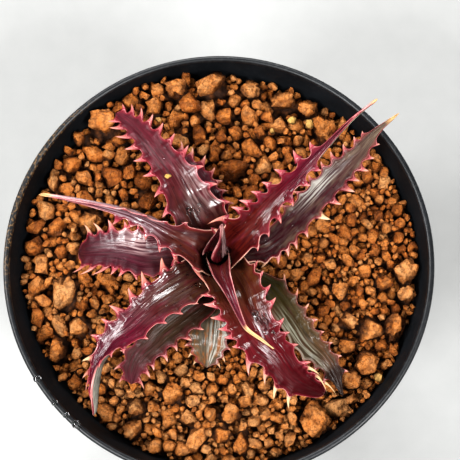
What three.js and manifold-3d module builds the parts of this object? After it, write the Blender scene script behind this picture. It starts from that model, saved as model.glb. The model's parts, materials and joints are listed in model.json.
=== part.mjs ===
// A young dyckia bromeliad, growing in coarse granules in a round nursery pot.
// Millimetres, +Z up. The origin is the middle of the pot's flat base, and +Y is north.

import * as THREE from "three";
import { mergeVertices } from "three/addons/utils/BufferGeometryUtils.js";
import Module from "manifold-3d";

const wasm = await Module();
wasm.setup();

// ---------------------------------------------------------------- driving dimensions

const RIM_RADIUS = 52.5; // outside of the lip
const POT_HEIGHT = 90;
const BASE_RADIUS = 38;
const WALL = 1.2;
const LIP_WIDTH = 1.6; // thickness of the collar at the top
const COLLAR_HEIGHT = 9;
const COLLAR_STEP = 0.9; // how far the collar stands out from the wall below it
const FLOOR = 1.6; // thickness of the pot's base
const DRAIN_HOLES = 6;
const DRAIN_RADIUS = 3.5;
const DRAIN_CIRCLE = 24; // radius of the circle that the drain holes lie on
const SEGMENTS = 48; // flats around the pot

const GAP = 0.35; // clearance between pieces that touch
const SOIL_LEVEL = 84.5; // granules around the plant, 5.5 below the rim

const STEM_TOP = 88;
const STEM_SHOULDER = 79; // widest height of the rootstock
const STEM_RADIUS = 7.5; // at the shoulder
const STEM_TOP_RADIUS = 2.2;
const STEM_BOTTOM = 64;

const ROOT_TOP = 86; // height where the youngest leaf leaves the rootstock
const ROOT_DROP = 0.5; // each older leaf leaves it this much lower
const SHEATH_SHARE = 0.22; // share of a leaf's length that clasps the heart
const SHEATH_FOLD = 0.8; // rise of the sheath's margins, as a share of its half width

const LEAF_THICKNESS = 1.3; // at the middle of a blade
const MARGIN_THICKNESS = 0.3;
const TOOTH_LENGTH = 1.3;
const TOOTH_PITCH = 4.2; // distance from tooth to tooth along a margin
const TOOTH_LIFT = 0.2; // how steeply a tooth rises, as a share of its length

const GRANULE_LIFT = 0.2; // centre of a large granule above the bed, as a share of its height
const SOIL_RINGS = [1, 0.93, 0.86, 0.78, 0.68, 0.56, 0.43, 0.29, 0.14]; // shares of the bed's radius

// ---------------------------------------------------------------- materials

const material = (color, roughness) => new THREE.MeshStandardMaterial({ color, roughness, metalness: 0 });

const POT_PLASTIC = ["#17181b", 0.5];
const STEM_BROWN = ["#5a3a24", 0.9];
const LEAF_CRIMSON = ["#5c1421", 0.35];
const LEAF_PURPLE = ["#4d1f2b", 0.5];
const LEAF_OLD = ["#5f5750", 0.5];
const GRANULE = ["#a8683c", 0.95];
const SOIL = ["#7d4a2a", 0.95];

// ---------------------------------------------------------------- the leaves

// Every blade has the compass angle of its base on the rootstock, the age rank that places
// that base (0 is the youngest, in the heart), the rise of its margins above the midrib, at mid
// blade and at the tip, as a share of the half width, the share of the length where its teeth
// end, and the path of its midrib from the top of the sheath to the tip. A point of the path is
// x, y, z and the half width there. A twist turns the tip about its length, in degrees.
const LEAVES = [
  {
    name: "leaf_spear", color: LEAF_CRIMSON, angle: 60, rank: 0, fold: [0.9, 0.9], teethEnd: 0,
    path: [[0.9, 0.6, 96.5, 2.9], [1.1, 2.0, 102, 2.3], [1.3, 3.1, 107, 1.3], [1.4, 4.0, 112, 0.2]],
  },
  {
    name: "leaf_south_narrow", color: LEAF_CRIMSON, angle: 285, rank: 1, fold: [0.6, 0.4], teethEnd: 0,
    path: [[0.6, -3.4, 95.5, 3.0], [1.4, -5.8, 98, 2.4], [2.6, -8.3, 99.8, 1.9], [3.9, -11.5, 101.3, 1.4],
      [5.6, -15.7, 102.8, 1.0], [7.2, -18.5, 103.3, 0.7], [10.6, -20.9, 102.3, 0.4], [13.3, -22.8, 100.8, 0.1]],
  },
  {
    name: "leaf_northeast_upper", color: LEAF_CRIMSON, angle: 38, rank: 2, fold: [0.35, 0.7], teethEnd: 0.72,
    path: [[5.5, 4.2, 97, 4.7], [9.3, 7.2, 100, 3.6], [13.1, 11.2, 102.5, 2.9], [17.8, 15.7, 104.5, 2.3],
      [25.2, 23.3, 106.5, 1.3], [31.8, 30.1, 107, 0.7], [37.9, 35.1, 106.5, 0.2]],
  },
  {
    name: "leaf_west_upper", color: LEAF_CRIMSON, angle: 163, rank: 3, fold: [0.5, 0.9], teethEnd: 0.55,
    path: [[-6.0, 2.0, 95, 4.8], [-10.6, 4.1, 97.5, 3.4], [-15.7, 6.6, 100, 2.4], [-21.4, 8.6, 102, 1.5],
      [-27.1, 10.1, 103.3, 1.0], [-34.1, 11.7, 104, 0.6], [-41.4, 13.2, 104, 0.2]],
  },
  {
    name: "leaf_southeast_broad", color: LEAF_CRIMSON, angle: 300, rank: 4, fold: [0.25, 0.2], teethEnd: 0.95,
    path: [[4.8, -8.5, 97, 6.0], [7.1, -13.9, 98.2, 5.5], [10.7, -20.5, 97.3, 5.0], [14.0, -24.0, 95.6, 4.2],
      [17.1, -28.0, 93, 3.8], [19.9, -30.2, 90.8, 3.1], [23.5, -31.7, 87.3, 1.2]],
  },
  {
    name: "leaf_northwest_broad", color: LEAF_PURPLE, angle: 115, rank: 5, fold: [0.25, 0.15], teethEnd: 0.93,
    path: [[-3.4, 8.0, 94.5, 6.6], [-6.8, 13.6, 97.5, 5.5], [-9.8, 19.0, 98, 4.5], [-13.8, 24.5, 97, 3.7],
      [-18.2, 30.2, 95, 2.9], [-22.3, 34.7, 92, 2.1], [-25.6, 37.6, 89.5, 0.9]],
  },
  {
    name: "leaf_southwest_upper", color: LEAF_CRIMSON, angle: 222, rank: 6, fold: [0.25, 1.0], teethEnd: 0.9,
    twist: 65,
    path: [[-6.0, -5.7, 94.5, 5.3], [-12.5, -10.2, 96.3, 4.8], [-16.1, -13.1, 96.3, 4.2],
      [-20.8, -17.3, 95.2, 3.9], [-24.0, -19.4, 94, 3.3], [-26.4, -22.0, 92.8, 2.5], [-28.4, -25.5, 91.3, 1.8],
      [-29.3, -30.9, 90, 1.3], [-29.5, -37.1, 88.5, 0.3]],
  },
  {
    name: "leaf_west_lower", color: LEAF_PURPLE, angle: 178, rank: 7, fold: [0.25, 0.15], teethEnd: 0.95,
    path: [[-11.5, 1.4, 92, 5.4], [-17.4, 0.9, 93.3, 5.4], [-23.4, 2.0, 93.5, 4.6], [-28.4, 2.1, 92.5, 4.1],
      [-31.6, 2.3, 90.8, 3.7], [-34.3, 2.8, 87.5, 2.0]],
  },
  {
    name: "leaf_northeast_lower", color: LEAF_OLD, angle: 26, rank: 8, fold: [0.25, 0.3], teethEnd: 0.82,
    path: [[11.8, 3.2, 92, 3.4], [18.2, 8.2, 95, 3.4], [25.0, 15.1, 97.5, 3.3], [28.7, 18.9, 98.5, 3.1],
      [33.5, 23.6, 99.3, 2.3], [38.1, 29.1, 99.7, 1.3], [43.8, 33.9, 99.5, 0.2]],
  },
  {
    name: "leaf_southeast_lower", color: LEAF_OLD, angle: 325, rank: 9, fold: [0.2, 0.2], teethEnd: 0.93,
    path: [[12.4, -7.6, 90.8, 3.6], [16.4, -12.7, 91.3, 3.6], [19.0, -16.6, 91.2, 3.5], [21.7, -20.3, 90.5, 3.4],
      [25.5, -24.0, 89.2, 2.6], [27.8, -27.3, 88, 2.0], [30.0, -32.8, 85.8, 0.5]],
  },
  {
    name: "leaf_southwest_lower", color: LEAF_OLD, angle: 240, rank: 10, fold: [0.2, 0.15], teethEnd: 0.93,
    path: [[-3.9, -10.0, 89.3, 4.3], [-7.9, -13.5, 90, 4.1], [-12.6, -17.3, 90.4, 3.9], [-16.2, -20.9, 90, 3.5],
      [-19.1, -23.7, 89.2, 3.1], [-20.7, -26.9, 87.5, 2.5], [-21.1, -29.6, 85.3, 1.0]],
  },
  {
    name: "leaf_north_old", color: LEAF_OLD, angle: 95, rank: 11, fold: [0.2, 0.15], teethEnd: 0.93,
    path: [[0.0, 11.5, 88.6, 2.8], [-1.8, 15.7, 89, 2.8], [-5.5, 21.7, 88.6, 2.7], [-10.9, 26.7, 87.2, 2.0],
      [-13.2, 29.6, 86.2, 0.8]],
  },
  {
    name: "leaf_south_old", color: LEAF_OLD, angle: 262, rank: 12, fold: [0.15, 0.1], teethEnd: 0.8,
    path: [[-1.7, -10.8, 88.3, 4.6], [-2.2, -15.6, 88, 4.8], [-2.4, -19.9, 86.8, 4.6], [-2.8, -23.2, 84.2, 3.4],
      [-3.0, -25.4, 81.5, 1.2]],
  },
];

// ---------------------------------------------------------------- the large granules

// x, y, length, width and the compass angle of the length, of each large granule
const GRANULES = [
  [-29.3, 35.8, 7.3, 6.8, 20], [-35.4, 32.2, 3.9, 3.7, 60], [-11.0, 44.5, 5.9, 5.1, 0],
  [-1.9, 46.1, 7.9, 6.6, 10], [7.9, 45.1, 5.4, 5.2, 90], [16.3, 41.8, 6.4, 5.7, 150],
  [22.7, 40.2, 5.4, 4.9, 0], [26.9, 34.6, 7.4, 5.7, 110], [-32.0, 10.7, 6.8, 6.0, 40],
  [-38.4, -7.2, 8.6, 6.2, 80], [-34.3, -15.1, 5.2, 4.8, 0], [-39.9, -20.7, 6.7, 4.3, 80],
  [-11.2, -31.8, 5.6, 5.2, 30], [-20.4, -34.9, 4.7, 4.3, 0], [-21.2, -40.2, 5.7, 4.7, 70],
  [0.9, -41.7, 4.2, 4.0, 0], [2.8, -36.8, 5.1, 4.7, 40], [5.5, -43.8, 5.6, 3.7, 80],
  [23.3, -37.9, 8.9, 7.5, 110], [32.2, -28.5, 5.2, 4.7, 20], [36.2, -24.2, 6.6, 5.7, 60],
  [31.9, -14.2, 4.7, 4.5, 0], [37.0, -16.0, 6.2, 5.4, 20], [43.2, -15.8, 7.6, 5.2, 80],
  [46.4, -2.1, 6.2, 5.7, 30], [46.2, -7.8, 4.8, 4.5, 0], [40.6, -4.6, 4.3, 4.0, 20],
  [29.8, -6.6, 4.7, 4.3, 50], [31.3, -20.4, 4.3, 3.8, 0],
];

// ---------------------------------------------------------------- solids from meshes

// Drops everything but position, joins the shared corners and leaves out empty triangles
function closedGeometry(geometry) {
  geometry.deleteAttribute("normal");
  geometry.deleteAttribute("uv");
  const merged = mergeVertices(geometry, 1e-4);
  const index = merged.index.array;
  const kept = [];
  for (let i = 0; i < index.length; i += 3) {
    const [a, b, c] = [index[i], index[i + 1], index[i + 2]];
    if (a !== b && b !== c && c !== a) kept.push(a, b, c);
  }
  merged.setIndex(kept);
  return merged;
}

function toSolid(geometry) {
  const merged = closedGeometry(geometry);
  return new wasm.Manifold(
    new wasm.Mesh({
      numProp: 3,
      vertProperties: new Float32Array(merged.attributes.position.array),
      triVerts: new Uint32Array(merged.index.array),
    }),
  );
}

function toGeometry(solid) {
  const mesh = solid.getMesh();
  const geometry = new THREE.BufferGeometry();
  geometry.setAttribute("position", new THREE.BufferAttribute(new Float32Array(mesh.vertProperties), 3));
  geometry.setIndex(Array.from(mesh.triVerts));
  geometry.computeVertexNormals();
  return geometry;
}

function subtractAll(solid, cutters) {
  return cutters.reduce((rest, cutter) => rest.subtract(cutter), solid);
}

// The largest of the bodies that a cut leaves
function largestBody(solid) {
  return solid.decompose().reduce((best, body) => (body.volume() > best.volume() ? body : best));
}

// Skins a row of rings, each with the same number of points, and closes both ends.
// The points of a ring run anticlockwise when the next ring is nearer to the eye.
function skin(rings, firstPoint, lastPoint) {
  const count = rings[0].length;
  const points = [...rings.flat(), firstPoint, lastPoint];
  const first = rings.length * count;
  const last = first + 1;
  const top = (rings.length - 1) * count;
  const faces = [];
  for (let k = 0; k < count; k++) {
    const next = (k + 1) % count;
    for (let row = 0; row < top; row += count) {
      faces.push(row + k, row + next, row + count + next);
      faces.push(row + k, row + count + next, row + count + k);
    }
    faces.push(first, next, k);
    faces.push(last, top + k, top + next);
  }
  const geometry = new THREE.BufferGeometry().setFromPoints(points);
  geometry.setIndex(faces);
  return geometry;
}

// ---------------------------------------------------------------- pot

function innerRadius(z) {
  const atTop = RIM_RADIUS - LIP_WIDTH;
  const atFloor = BASE_RADIUS - WALL;
  return atFloor + ((atTop - atFloor) * (z - FLOOR)) / (POT_HEIGHT - FLOOR);
}

function potSolid() {
  const collarBottom = POT_HEIGHT - COLLAR_HEIGHT;
  const underCollar = innerRadius(collarBottom) + WALL;
  const profile = [
    [0, 0], [BASE_RADIUS - 1.2, 0], [BASE_RADIUS, 1.2],
    [underCollar, collarBottom], [underCollar + COLLAR_STEP, collarBottom + 0.6],
    [RIM_RADIUS, POT_HEIGHT - 1.0], [RIM_RADIUS - 0.35, POT_HEIGHT - 0.3],
    [RIM_RADIUS - LIP_WIDTH / 2, POT_HEIGHT], [RIM_RADIUS - LIP_WIDTH + 0.3, POT_HEIGHT - 0.3],
    [innerRadius(POT_HEIGHT - 1), POT_HEIGHT - 1], [innerRadius(FLOOR), FLOOR], [0, FLOOR],
  ].map(([r, z]) => new THREE.Vector2(r, z));
  const shell = new THREE.LatheGeometry(profile, SEGMENTS).rotateX(Math.PI / 2);
  const holes = [];
  for (let i = 0; i < DRAIN_HOLES; i++) {
    const turn = (2 * Math.PI * i) / DRAIN_HOLES;
    const hole = new THREE.CylinderGeometry(DRAIN_RADIUS, DRAIN_RADIUS, 3 * FLOOR, 16).rotateX(Math.PI / 2);
    hole.translate(DRAIN_CIRCLE * Math.cos(turn), DRAIN_CIRCLE * Math.sin(turn), FLOOR / 2);
    holes.push(toSolid(hole));
  }
  return subtractAll(toSolid(shell), holes);
}

// ---------------------------------------------------------------- rootstock

function stemSolid(grow) {
  const profile = [
    [0, STEM_BOTTOM - grow], [1.5 + grow, STEM_BOTTOM - grow], [4.5 + grow, STEM_BOTTOM + 7],
    [STEM_RADIUS + grow, STEM_SHOULDER], [STEM_TOP_RADIUS + grow, STEM_TOP + grow], [0, STEM_TOP + grow],
  ].map(([r, z]) => new THREE.Vector2(r, z));
  return toSolid(new THREE.LatheGeometry(profile, 16).rotateX(Math.PI / 2));
}

// ---------------------------------------------------------------- leaf

// The sheath starts inside the rootstock's cone, lower and wider the older the leaf is
function leafPath(leaf) {
  const turn = THREE.MathUtils.degToRad(leaf.angle);
  const ray = (radius, z, half) => [radius * Math.cos(turn), radius * Math.sin(turn), z, half];
  const [, , crownZ, crownHalf] = leaf.path[0];
  const rootZ = ROOT_TOP - ROOT_DROP * leaf.rank;
  const sheathZ = THREE.MathUtils.lerp(rootZ, crownZ, 0.55);
  return [
    ray(1.2 + 0.42 * leaf.rank, rootZ, crownHalf * 0.8),
    ray(2.2 + 0.5 * leaf.rank, sheathZ, crownHalf),
    ...leaf.path,
  ];
}

// A crescent with blunt margins that stand above the midrib. The first point of each pair is a
// corner of the crescent, and the second is how far, in units of grow, a fatter leaf moves it.
function leafSection(half, rise, tooth, thick, grow) {
  const margin = half + tooth;
  const marginUp = rise + tooth * TOOTH_LIFT;
  const flank = [half * 0.6, rise * 0.36 - thick * 0.8];
  const corners = [
    [[margin, marginUp], [0.3, 1.4]], [[0, 0], [0, 1]], [[-margin, marginUp], [-0.3, 1.4]],
    [[-margin, marginUp - MARGIN_THICKNESS], [-1, -0.6]], [[-flank[0], flank[1]], [-0.7, -0.7]],
    [[0, -thick], [0, -1]], [flank, [0.7, -0.7]], [[margin, marginUp - MARGIN_THICKNESS], [1, -0.6]],
  ];
  return corners.map(([[out, up], [moveOut, moveUp]]) => [out + moveOut * grow, up + moveUp * grow]);
}

// One closed leaf; grow makes it fatter all round, for cutting its neighbours clear of it
function leafSolid(leaf, grow) {
  const path = leafPath(leaf);
  const knots = path.map(([x, y, z]) => new THREE.Vector3(x, y, z));
  const curve = new THREE.CatmullRomCurve3(knots, false, "catmullrom", 0.5);
  const halfWidth = (t) => {
    const place = t * (path.length - 1);
    const knot = Math.min(Math.floor(place), path.length - 2);
    return THREE.MathUtils.lerp(path[knot][3], path[knot + 1][3], place - knot);
  };
  const steps = leaf.teethEnd > 0 ? 2 * Math.round(curve.getLength() / TOOTH_PITCH) : 10;
  const turn = THREE.MathUtils.degToRad(leaf.angle);
  const across = new THREE.Vector3(-Math.sin(turn), Math.cos(turn), 0);
  const [middleFold, tipFold] = leaf.fold;
  const rings = [];
  for (let i = 0; i < steps; i++) {
    const share = i / steps;
    const t = curve.getUtoTmapping(share);
    const centre = curve.getPoint(t);
    const along = curve.getTangent(t).normalize();
    across.addScaledVector(along, -across.dot(along)).normalize();
    if (i === 0) centre.addScaledVector(along, -grow);
    const half = halfWidth(t);
    const toTip = THREE.MathUtils.smoothstep(share, 0.5, 1);
    const toBase = Math.max(0, 1 - share / SHEATH_SHARE);
    const fold = THREE.MathUtils.lerp(THREE.MathUtils.lerp(middleFold, tipFold, toTip), SHEATH_FOLD, toBase);
    const hasTooth = i % 2 === 1 && share > SHEATH_SHARE && share < leaf.teethEnd;
    const tooth = hasTooth ? TOOTH_LENGTH : 0;
    const thick = LEAF_THICKNESS * Math.min(1, 0.25 + half / 3);
    const side = across.clone().applyAxisAngle(along, THREE.MathUtils.degToRad((leaf.twist ?? 0) * toTip));
    const face = along.clone().cross(side);
    const place = ([out, up]) => centre.clone().addScaledVector(side, out).addScaledVector(face, up);
    rings.push(leafSection(half, half * fold, tooth, thick, grow).map(place));
  }
  const root = rings[0][1].clone().lerp(rings[0][5], 0.5);
  const tip = curve.getPoint(1).addScaledVector(curve.getTangent(1).normalize(), grow * 2);
  return toSolid(skin(rings, root, tip));
}

// ---------------------------------------------------------------- granules and soil

// How far the granules lie above or below their level at the wall, by compass angle: heaped
// up in the north, sunk elsewhere and most of all in the south-west
const EDGE_LEVELS = [[112, 3], [42, -2], [318, -4], [270, -1.5], [226, -7.5]];
const EDGE_SPREAD = 26; // degrees to each side

function soilHeight(x, y) {
  const angle = THREE.MathUtils.radToDeg(Math.atan2(y, x));
  const edge = THREE.MathUtils.smoothstep(Math.hypot(x, y), 28, 50);
  const change = EDGE_LEVELS.reduce((sum, [centre, level]) => {
    const off = (THREE.MathUtils.euclideanModulo(angle - centre + 180, 360) - 180) / EDGE_SPREAD;
    return sum + level * Math.exp(-off * off);
  }, 0);
  const ripple = 0.4 * Math.sin(0.31 * x + 1.3) * Math.cos(0.27 * y - 0.6);
  return SOIL_LEVEL + edge * change + ripple;
}

// A lumpy stone: a rounded icosahedron pushed in and out by a few slow waves
function granuleSolid([x, y, length, width, angle], number, grow) {
  const height = 0.8 * width;
  const stone = new THREE.IcosahedronGeometry(1, 1);
  const corner = new THREE.Vector3();
  const position = stone.attributes.position;
  for (let i = 0; i < position.count; i++) {
    corner.fromBufferAttribute(position, i);
    const wave = Math.sin(4 * corner.x + number) + Math.sin(5 * corner.y - number) + Math.sin(4 * corner.z);
    corner.multiplyScalar(0.94 + 0.03 * wave);
    corner.multiply(new THREE.Vector3(length / 2 + grow, width / 2 + grow, height / 2 + grow));
    position.setXYZ(i, corner.x, corner.y, corner.z);
  }
  stone.rotateZ(THREE.MathUtils.degToRad(angle));
  stone.translate(x, y, soilHeight(x, y) + height * GRANULE_LIFT);
  return toSolid(stone);
}

// The bed fills the pot from its floor, and its side follows the pot's tapered wall
function soilSolid() {
  const top = [];
  for (const share of SOIL_RINGS) {
    const ring = [];
    for (let i = 0; i < SEGMENTS; i++) {
      const turn = (2 * Math.PI * i) / SEGMENTS;
      const [east, north] = [Math.cos(turn), Math.sin(turn)];
      const edgeRadius = innerRadius(soilHeight(48 * east, 48 * north)) - 2 * GAP;
      const radius = edgeRadius * share;
      ring.push(new THREE.Vector3(radius * east, radius * north, soilHeight(radius * east, radius * north)));
    }
    top.push(ring);
  }
  const foot = FLOOR + GAP;
  const footRadius = innerRadius(foot) - 2 * GAP;
  const bottom = top[0].map((point) => point.clone().setZ(0).setLength(footRadius).setZ(foot));
  const rings = [bottom, ...top];
  return toSolid(skin(rings, new THREE.Vector3(0, 0, foot), new THREE.Vector3(0, 0, soilHeight(0, 0))));
}

// ---------------------------------------------------------------- the model

const model = new THREE.Group();

function addPiece(name, solid, [color, roughness]) {
  const mesh = new THREE.Mesh(toGeometry(solid), material(color, roughness));
  mesh.name = name;
  model.add(mesh);
}

addPiece("pot", potSolid(), POT_PLASTIC);
addPiece("rootstock", stemSolid(0), STEM_BROWN);

// From the heart outwards, each leaf is cut clear of the rootstock and of the younger leaves
const grownStem = stemSolid(GAP);
const grownLeaves = [];
for (const leaf of LEAVES) {
  const body = largestBody(subtractAll(leafSolid(leaf, 0), [grownStem, ...grownLeaves]));
  addPiece(leaf.name, body, leaf.color);
  grownLeaves.push(leafSolid(leaf, GAP));
}

const grownGranules = [];
GRANULES.forEach((granule, number) => {
  const name = `granule_${String(number + 1).padStart(2, "0")}`;
  addPiece(name, granuleSolid(granule, number, 0), GRANULE);
  grownGranules.push(granuleSolid(granule, number, GAP));
});

const bed = largestBody(subtractAll(soilSolid(), [grownStem, ...grownLeaves, ...grownGranules]));
addPiece("soil_bed", bed, SOIL);

export default model;
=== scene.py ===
# %% [markdown]
# # A young dyckia in its nursery pot
#
# A dyckia is a small bromeliad. Its leaves are stiff, thick and channelled, and hooked teeth
# stand along their margins. This one grows in coarse fired-clay granules in a plain black pot.
# The lesson builds it in the order in which a grower would: the pot, the leaves, the granules
# around them, and last the water that stands on them. Lengths are written in millimetres and
# turned into metres by MM, because Blender's unit here is the metre.

# %% Load the frame that everything is built around
import json
import math

import bmesh
import bpy
import numpy as np
from mathutils import Matrix, Vector
from mathutils import noise as noise_field


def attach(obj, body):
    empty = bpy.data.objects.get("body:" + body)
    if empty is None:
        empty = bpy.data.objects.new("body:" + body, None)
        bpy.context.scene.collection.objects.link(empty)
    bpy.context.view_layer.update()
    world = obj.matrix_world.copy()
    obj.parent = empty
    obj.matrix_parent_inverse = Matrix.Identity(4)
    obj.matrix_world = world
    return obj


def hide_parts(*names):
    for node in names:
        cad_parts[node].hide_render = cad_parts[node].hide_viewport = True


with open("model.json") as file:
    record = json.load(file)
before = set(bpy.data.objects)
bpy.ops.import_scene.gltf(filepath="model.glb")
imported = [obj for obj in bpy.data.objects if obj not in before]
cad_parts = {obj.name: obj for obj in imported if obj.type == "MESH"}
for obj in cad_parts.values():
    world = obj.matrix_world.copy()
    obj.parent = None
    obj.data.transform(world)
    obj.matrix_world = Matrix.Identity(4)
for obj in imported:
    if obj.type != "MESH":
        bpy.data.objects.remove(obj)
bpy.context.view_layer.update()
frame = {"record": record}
MM = 0.001

# %% [markdown]
# ## Small tools
#
# A few helpers carry the whole lesson. Some make a mesh from points and faces, clean it and
# replace it by what its modifiers make of it. Another adds a node with its inputs in a single
# call. The last is a finish: a material with its Principled shader, and short names for the
# nodes that feed it, so that a finish reads as the layers it is made of.


# %% Helpers for objects and meshes
def into_scene(thing):
    """Links an object into the scene and hands it on."""
    bpy.context.scene.collection.objects.link(thing)
    return thing


def mesh_object(name, points, faces, materials=()):
    """An object in the scene whose place is in its mesh. Points are in millimetres."""
    mesh = bpy.data.meshes.new(name)
    mesh.from_pydata((np.asarray(points, dtype=float) * MM).tolist(), [], faces)
    mesh.update()
    mesh.shade_smooth()
    for material in materials:
        mesh.materials.append(material)
    return into_scene(bpy.data.objects.new(name, mesh))


def shape_to_copy(name, points, faces, collection):
    """A mesh of about unit size that a node tree copies. It lies in a collection, not in the scene."""
    shape = mesh_object(name, np.array(points) / MM, faces)
    bpy.context.scene.collection.objects.unlink(shape)
    collection.objects.link(shape)
    return shape


def ring_faces(rings, around, turned=False):
    """Quads between neighbouring rings of points. Turned ones look the other way."""
    faces = []
    for row in range(rings - 1):
        for k in range(around):
            a, b = row * around + k, row * around + (k + 1) % around
            faces.append((a, a + around, b + around, b) if turned else (a, b, b + around, a + around))
    return faces


def store(mesh, name, values):
    """Writes one number for each point of a mesh, for a shader or a node tree to read."""
    layer = mesh.attributes.new(name, "FLOAT", "POINT")
    layer.data.foreach_set("value", np.ascontiguousarray(values, dtype=np.float32).ravel())


def tidy_mesh(piece):
    """Joins doubled corners and turns the faces outwards."""
    work = bmesh.new()
    work.from_mesh(piece.data)
    bmesh.ops.remove_doubles(work, verts=work.verts, dist=0.01 * MM)
    bmesh.ops.dissolve_degenerate(work, edges=work.edges, dist=0.001 * MM)
    bmesh.ops.recalc_face_normals(work, faces=work.faces)
    work.to_mesh(piece.data)
    work.free()
    piece.data.update()


def bake_modifiers(piece):
    """Replaces the piece's mesh by what its modifiers make of it, and removes them."""
    bpy.context.view_layer.update()
    graph = bpy.context.evaluated_depsgraph_get()
    evaluated = piece.evaluated_get(graph)
    mesh = bpy.data.meshes.new_from_object(evaluated, preserve_all_data_layers=True, depsgraph=graph)
    old = piece.data
    piece.modifiers.clear()
    piece.data = mesh
    bpy.data.meshes.remove(old)
    mesh.name = piece.name


# %% Helpers for nodes and finishes
def add_node(tree, kind, inputs=None, **settings):
    """A node whose settings and inputs are given at once. An input is a value or an output socket."""
    node = tree.nodes.new(kind)
    for name, value in settings.items():
        setattr(node, name, value)
    for key, value in (inputs or {}).items():
        socket = node.inputs[key]
        if isinstance(value, bpy.types.NodeSocket):
            tree.links.new(value, socket)
        else:
            socket.default_value = value
    return node


def with_alpha(color):
    """Adds the fourth number that Blender wants to a colour of three. A socket stays as it is."""
    return (*color, 1) if isinstance(color, tuple) else color


class Finish:
    """A material with a Principled shader. Input names are written with underscores for spaces."""

    def __init__(self, name, **inputs):
        self.material = bpy.data.materials.new(name)
        self.material.use_nodes = True
        self.tree = self.material.node_tree
        self.tree.nodes.clear()
        self.shader = self.node("ShaderNodeBsdfPrincipled")
        self.node("ShaderNodeOutputMaterial", {"Surface": self.shader.outputs[0]})
        for key, value in inputs.items():
            self.shader.inputs[key.replace("_", " ")].default_value = value

    def node(self, kind, inputs=None, **settings):
        return add_node(self.tree, kind, inputs, **settings)

    def feed(self, **sockets):
        """Links sockets to inputs of the shader."""
        for key, socket in sockets.items():
            self.tree.links.new(socket, self.shader.inputs[key.replace("_", " ")])

    def place(self):
        """Where a point lies on the object."""
        return self.node("ShaderNodeTexCoord").outputs["Object"]

    def value(self, label):
        """A number that was stored on the mesh's points."""
        return self.node("ShaderNodeAttribute", attribute_name=label).outputs["Fac"]

    def noise(self, vector, scale, detail=3.0, roughness=0.55):
        given = {"Vector": vector, "Scale": scale, "Detail": detail, "Roughness": roughness}
        return self.node("ShaderNodeTexNoise", given).outputs["Fac"]

    def remap(self, value, low, high, to_low=0.0, to_high=1.0):
        """Turns the range from low to high into another one, and stops at its ends."""
        given = {"Value": value, "From Min": low, "From Max": high, "To Min": to_low, "To Max": to_high}
        return self.node("ShaderNodeMapRange", given).outputs["Result"]

    def calc(self, operation, first, second):
        return self.node("ShaderNodeMath", {0: first, 1: second}, operation=operation).outputs[0]

    def product(self, first, second):
        return self.calc("MULTIPLY", first, second)

    def mix(self, factor, first, second):
        """The first colour where the factor is 0, and the second where it is 1."""
        given = {"Factor": factor, 6: with_alpha(first), 7: with_alpha(second)}
        return self.node("ShaderNodeMix", given, data_type="RGBA").outputs[2]

    def over(self, color, layer, value, low, high, most=1.0):
        """Lays a colour over another: none of it where the value is low, and most where it is high."""
        return self.mix(self.remap(value, low, high, 0.0, most), color, layer)

    def ramp(self, value, *stops):
        """A colour ramp. Each stop is a place and a colour."""
        node = self.node("ShaderNodeValToRGB", {"Fac": value})
        elements = node.color_ramp.elements
        for element, (place, color) in zip(elements, (stops[0], stops[-1])):
            element.position, element.color = place, with_alpha(color)
        for place, color in stops[1:-1]:
            elements.new(place).color = with_alpha(color)
        return node.outputs["Color"]

    def bump(self, *layers):
        """Stacks bumps on the shader. Each layer is a height, and how deep it is in millimetres."""
        normal = None
        for height, depth in layers:
            inputs = {"Height": height, "Distance": depth * MM, "Strength": 1.0}
            if normal is not None:
                inputs["Normal"] = normal
            normal = self.node("ShaderNodeBump", inputs).outputs[0]
        self.feed(Normal=normal)
        return normal


# %% [markdown]
# ## The camera
#
# The plant is looked at from almost straight above, from a hand's breadth over the pot. An
# angle pair and a distance say where the eye is, and a matrix made from three directions
# turns the camera, so that no constraint or helper object is needed.

# %% Place the camera
EYE_AZIMUTH, EYE_ELEVATION = math.radians(6.7), math.radians(78.08)
EYE_DISTANCE = 280 * MM
LOOK_AT = Vector((2.96, 7.39, 90.0)) * MM
FOCAL_PIXELS, FRAME_PIXELS, SENSOR_WIDTH = 1147, 460, 36.0
NEAREST_SEEN = 10 * MM


def place_camera():
    flat = math.cos(EYE_ELEVATION)
    back = (math.sin(EYE_AZIMUTH) * flat, -math.cos(EYE_AZIMUTH) * flat, math.sin(EYE_ELEVATION))
    back, north = Vector(back), Vector((0, 1, 0))
    up = (north - back * north.dot(back)).normalized()
    right = up.cross(back)
    data = bpy.data.cameras.new("camera")
    data.sensor_width = SENSOR_WIDTH
    data.lens = FOCAL_PIXELS / FRAME_PIXELS * SENSOR_WIDTH
    data.clip_start = NEAREST_SEEN
    camera = bpy.data.objects.new("camera", data)
    turn = Matrix((right, up, back)).transposed().to_4x4()
    camera.matrix_world = Matrix.Translation(LOOK_AT + back * EYE_DISTANCE) @ turn
    bpy.context.scene.camera = into_scene(camera)
    return camera


camera = place_camera()
print("camera at", [round(v, 3) for v in camera.matrix_world.translation], "lens", round(camera.data.lens, 1))

# %% [markdown]
# ## The pot
#
# A nursery pot is injection-moulded polypropylene: a thin tapered wall, a taller collar that
# lets a person lift it, a lip rolled over the top, and drain holes in the base. It could be a
# modifier stack, but a turned part is simplest as a profile swept around the axis, so one
# list of radius and height pairs is its whole shape. The drain holes are drilled through the
# base afterwards, by a Boolean modifier with one cylinder for each hole.

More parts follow.
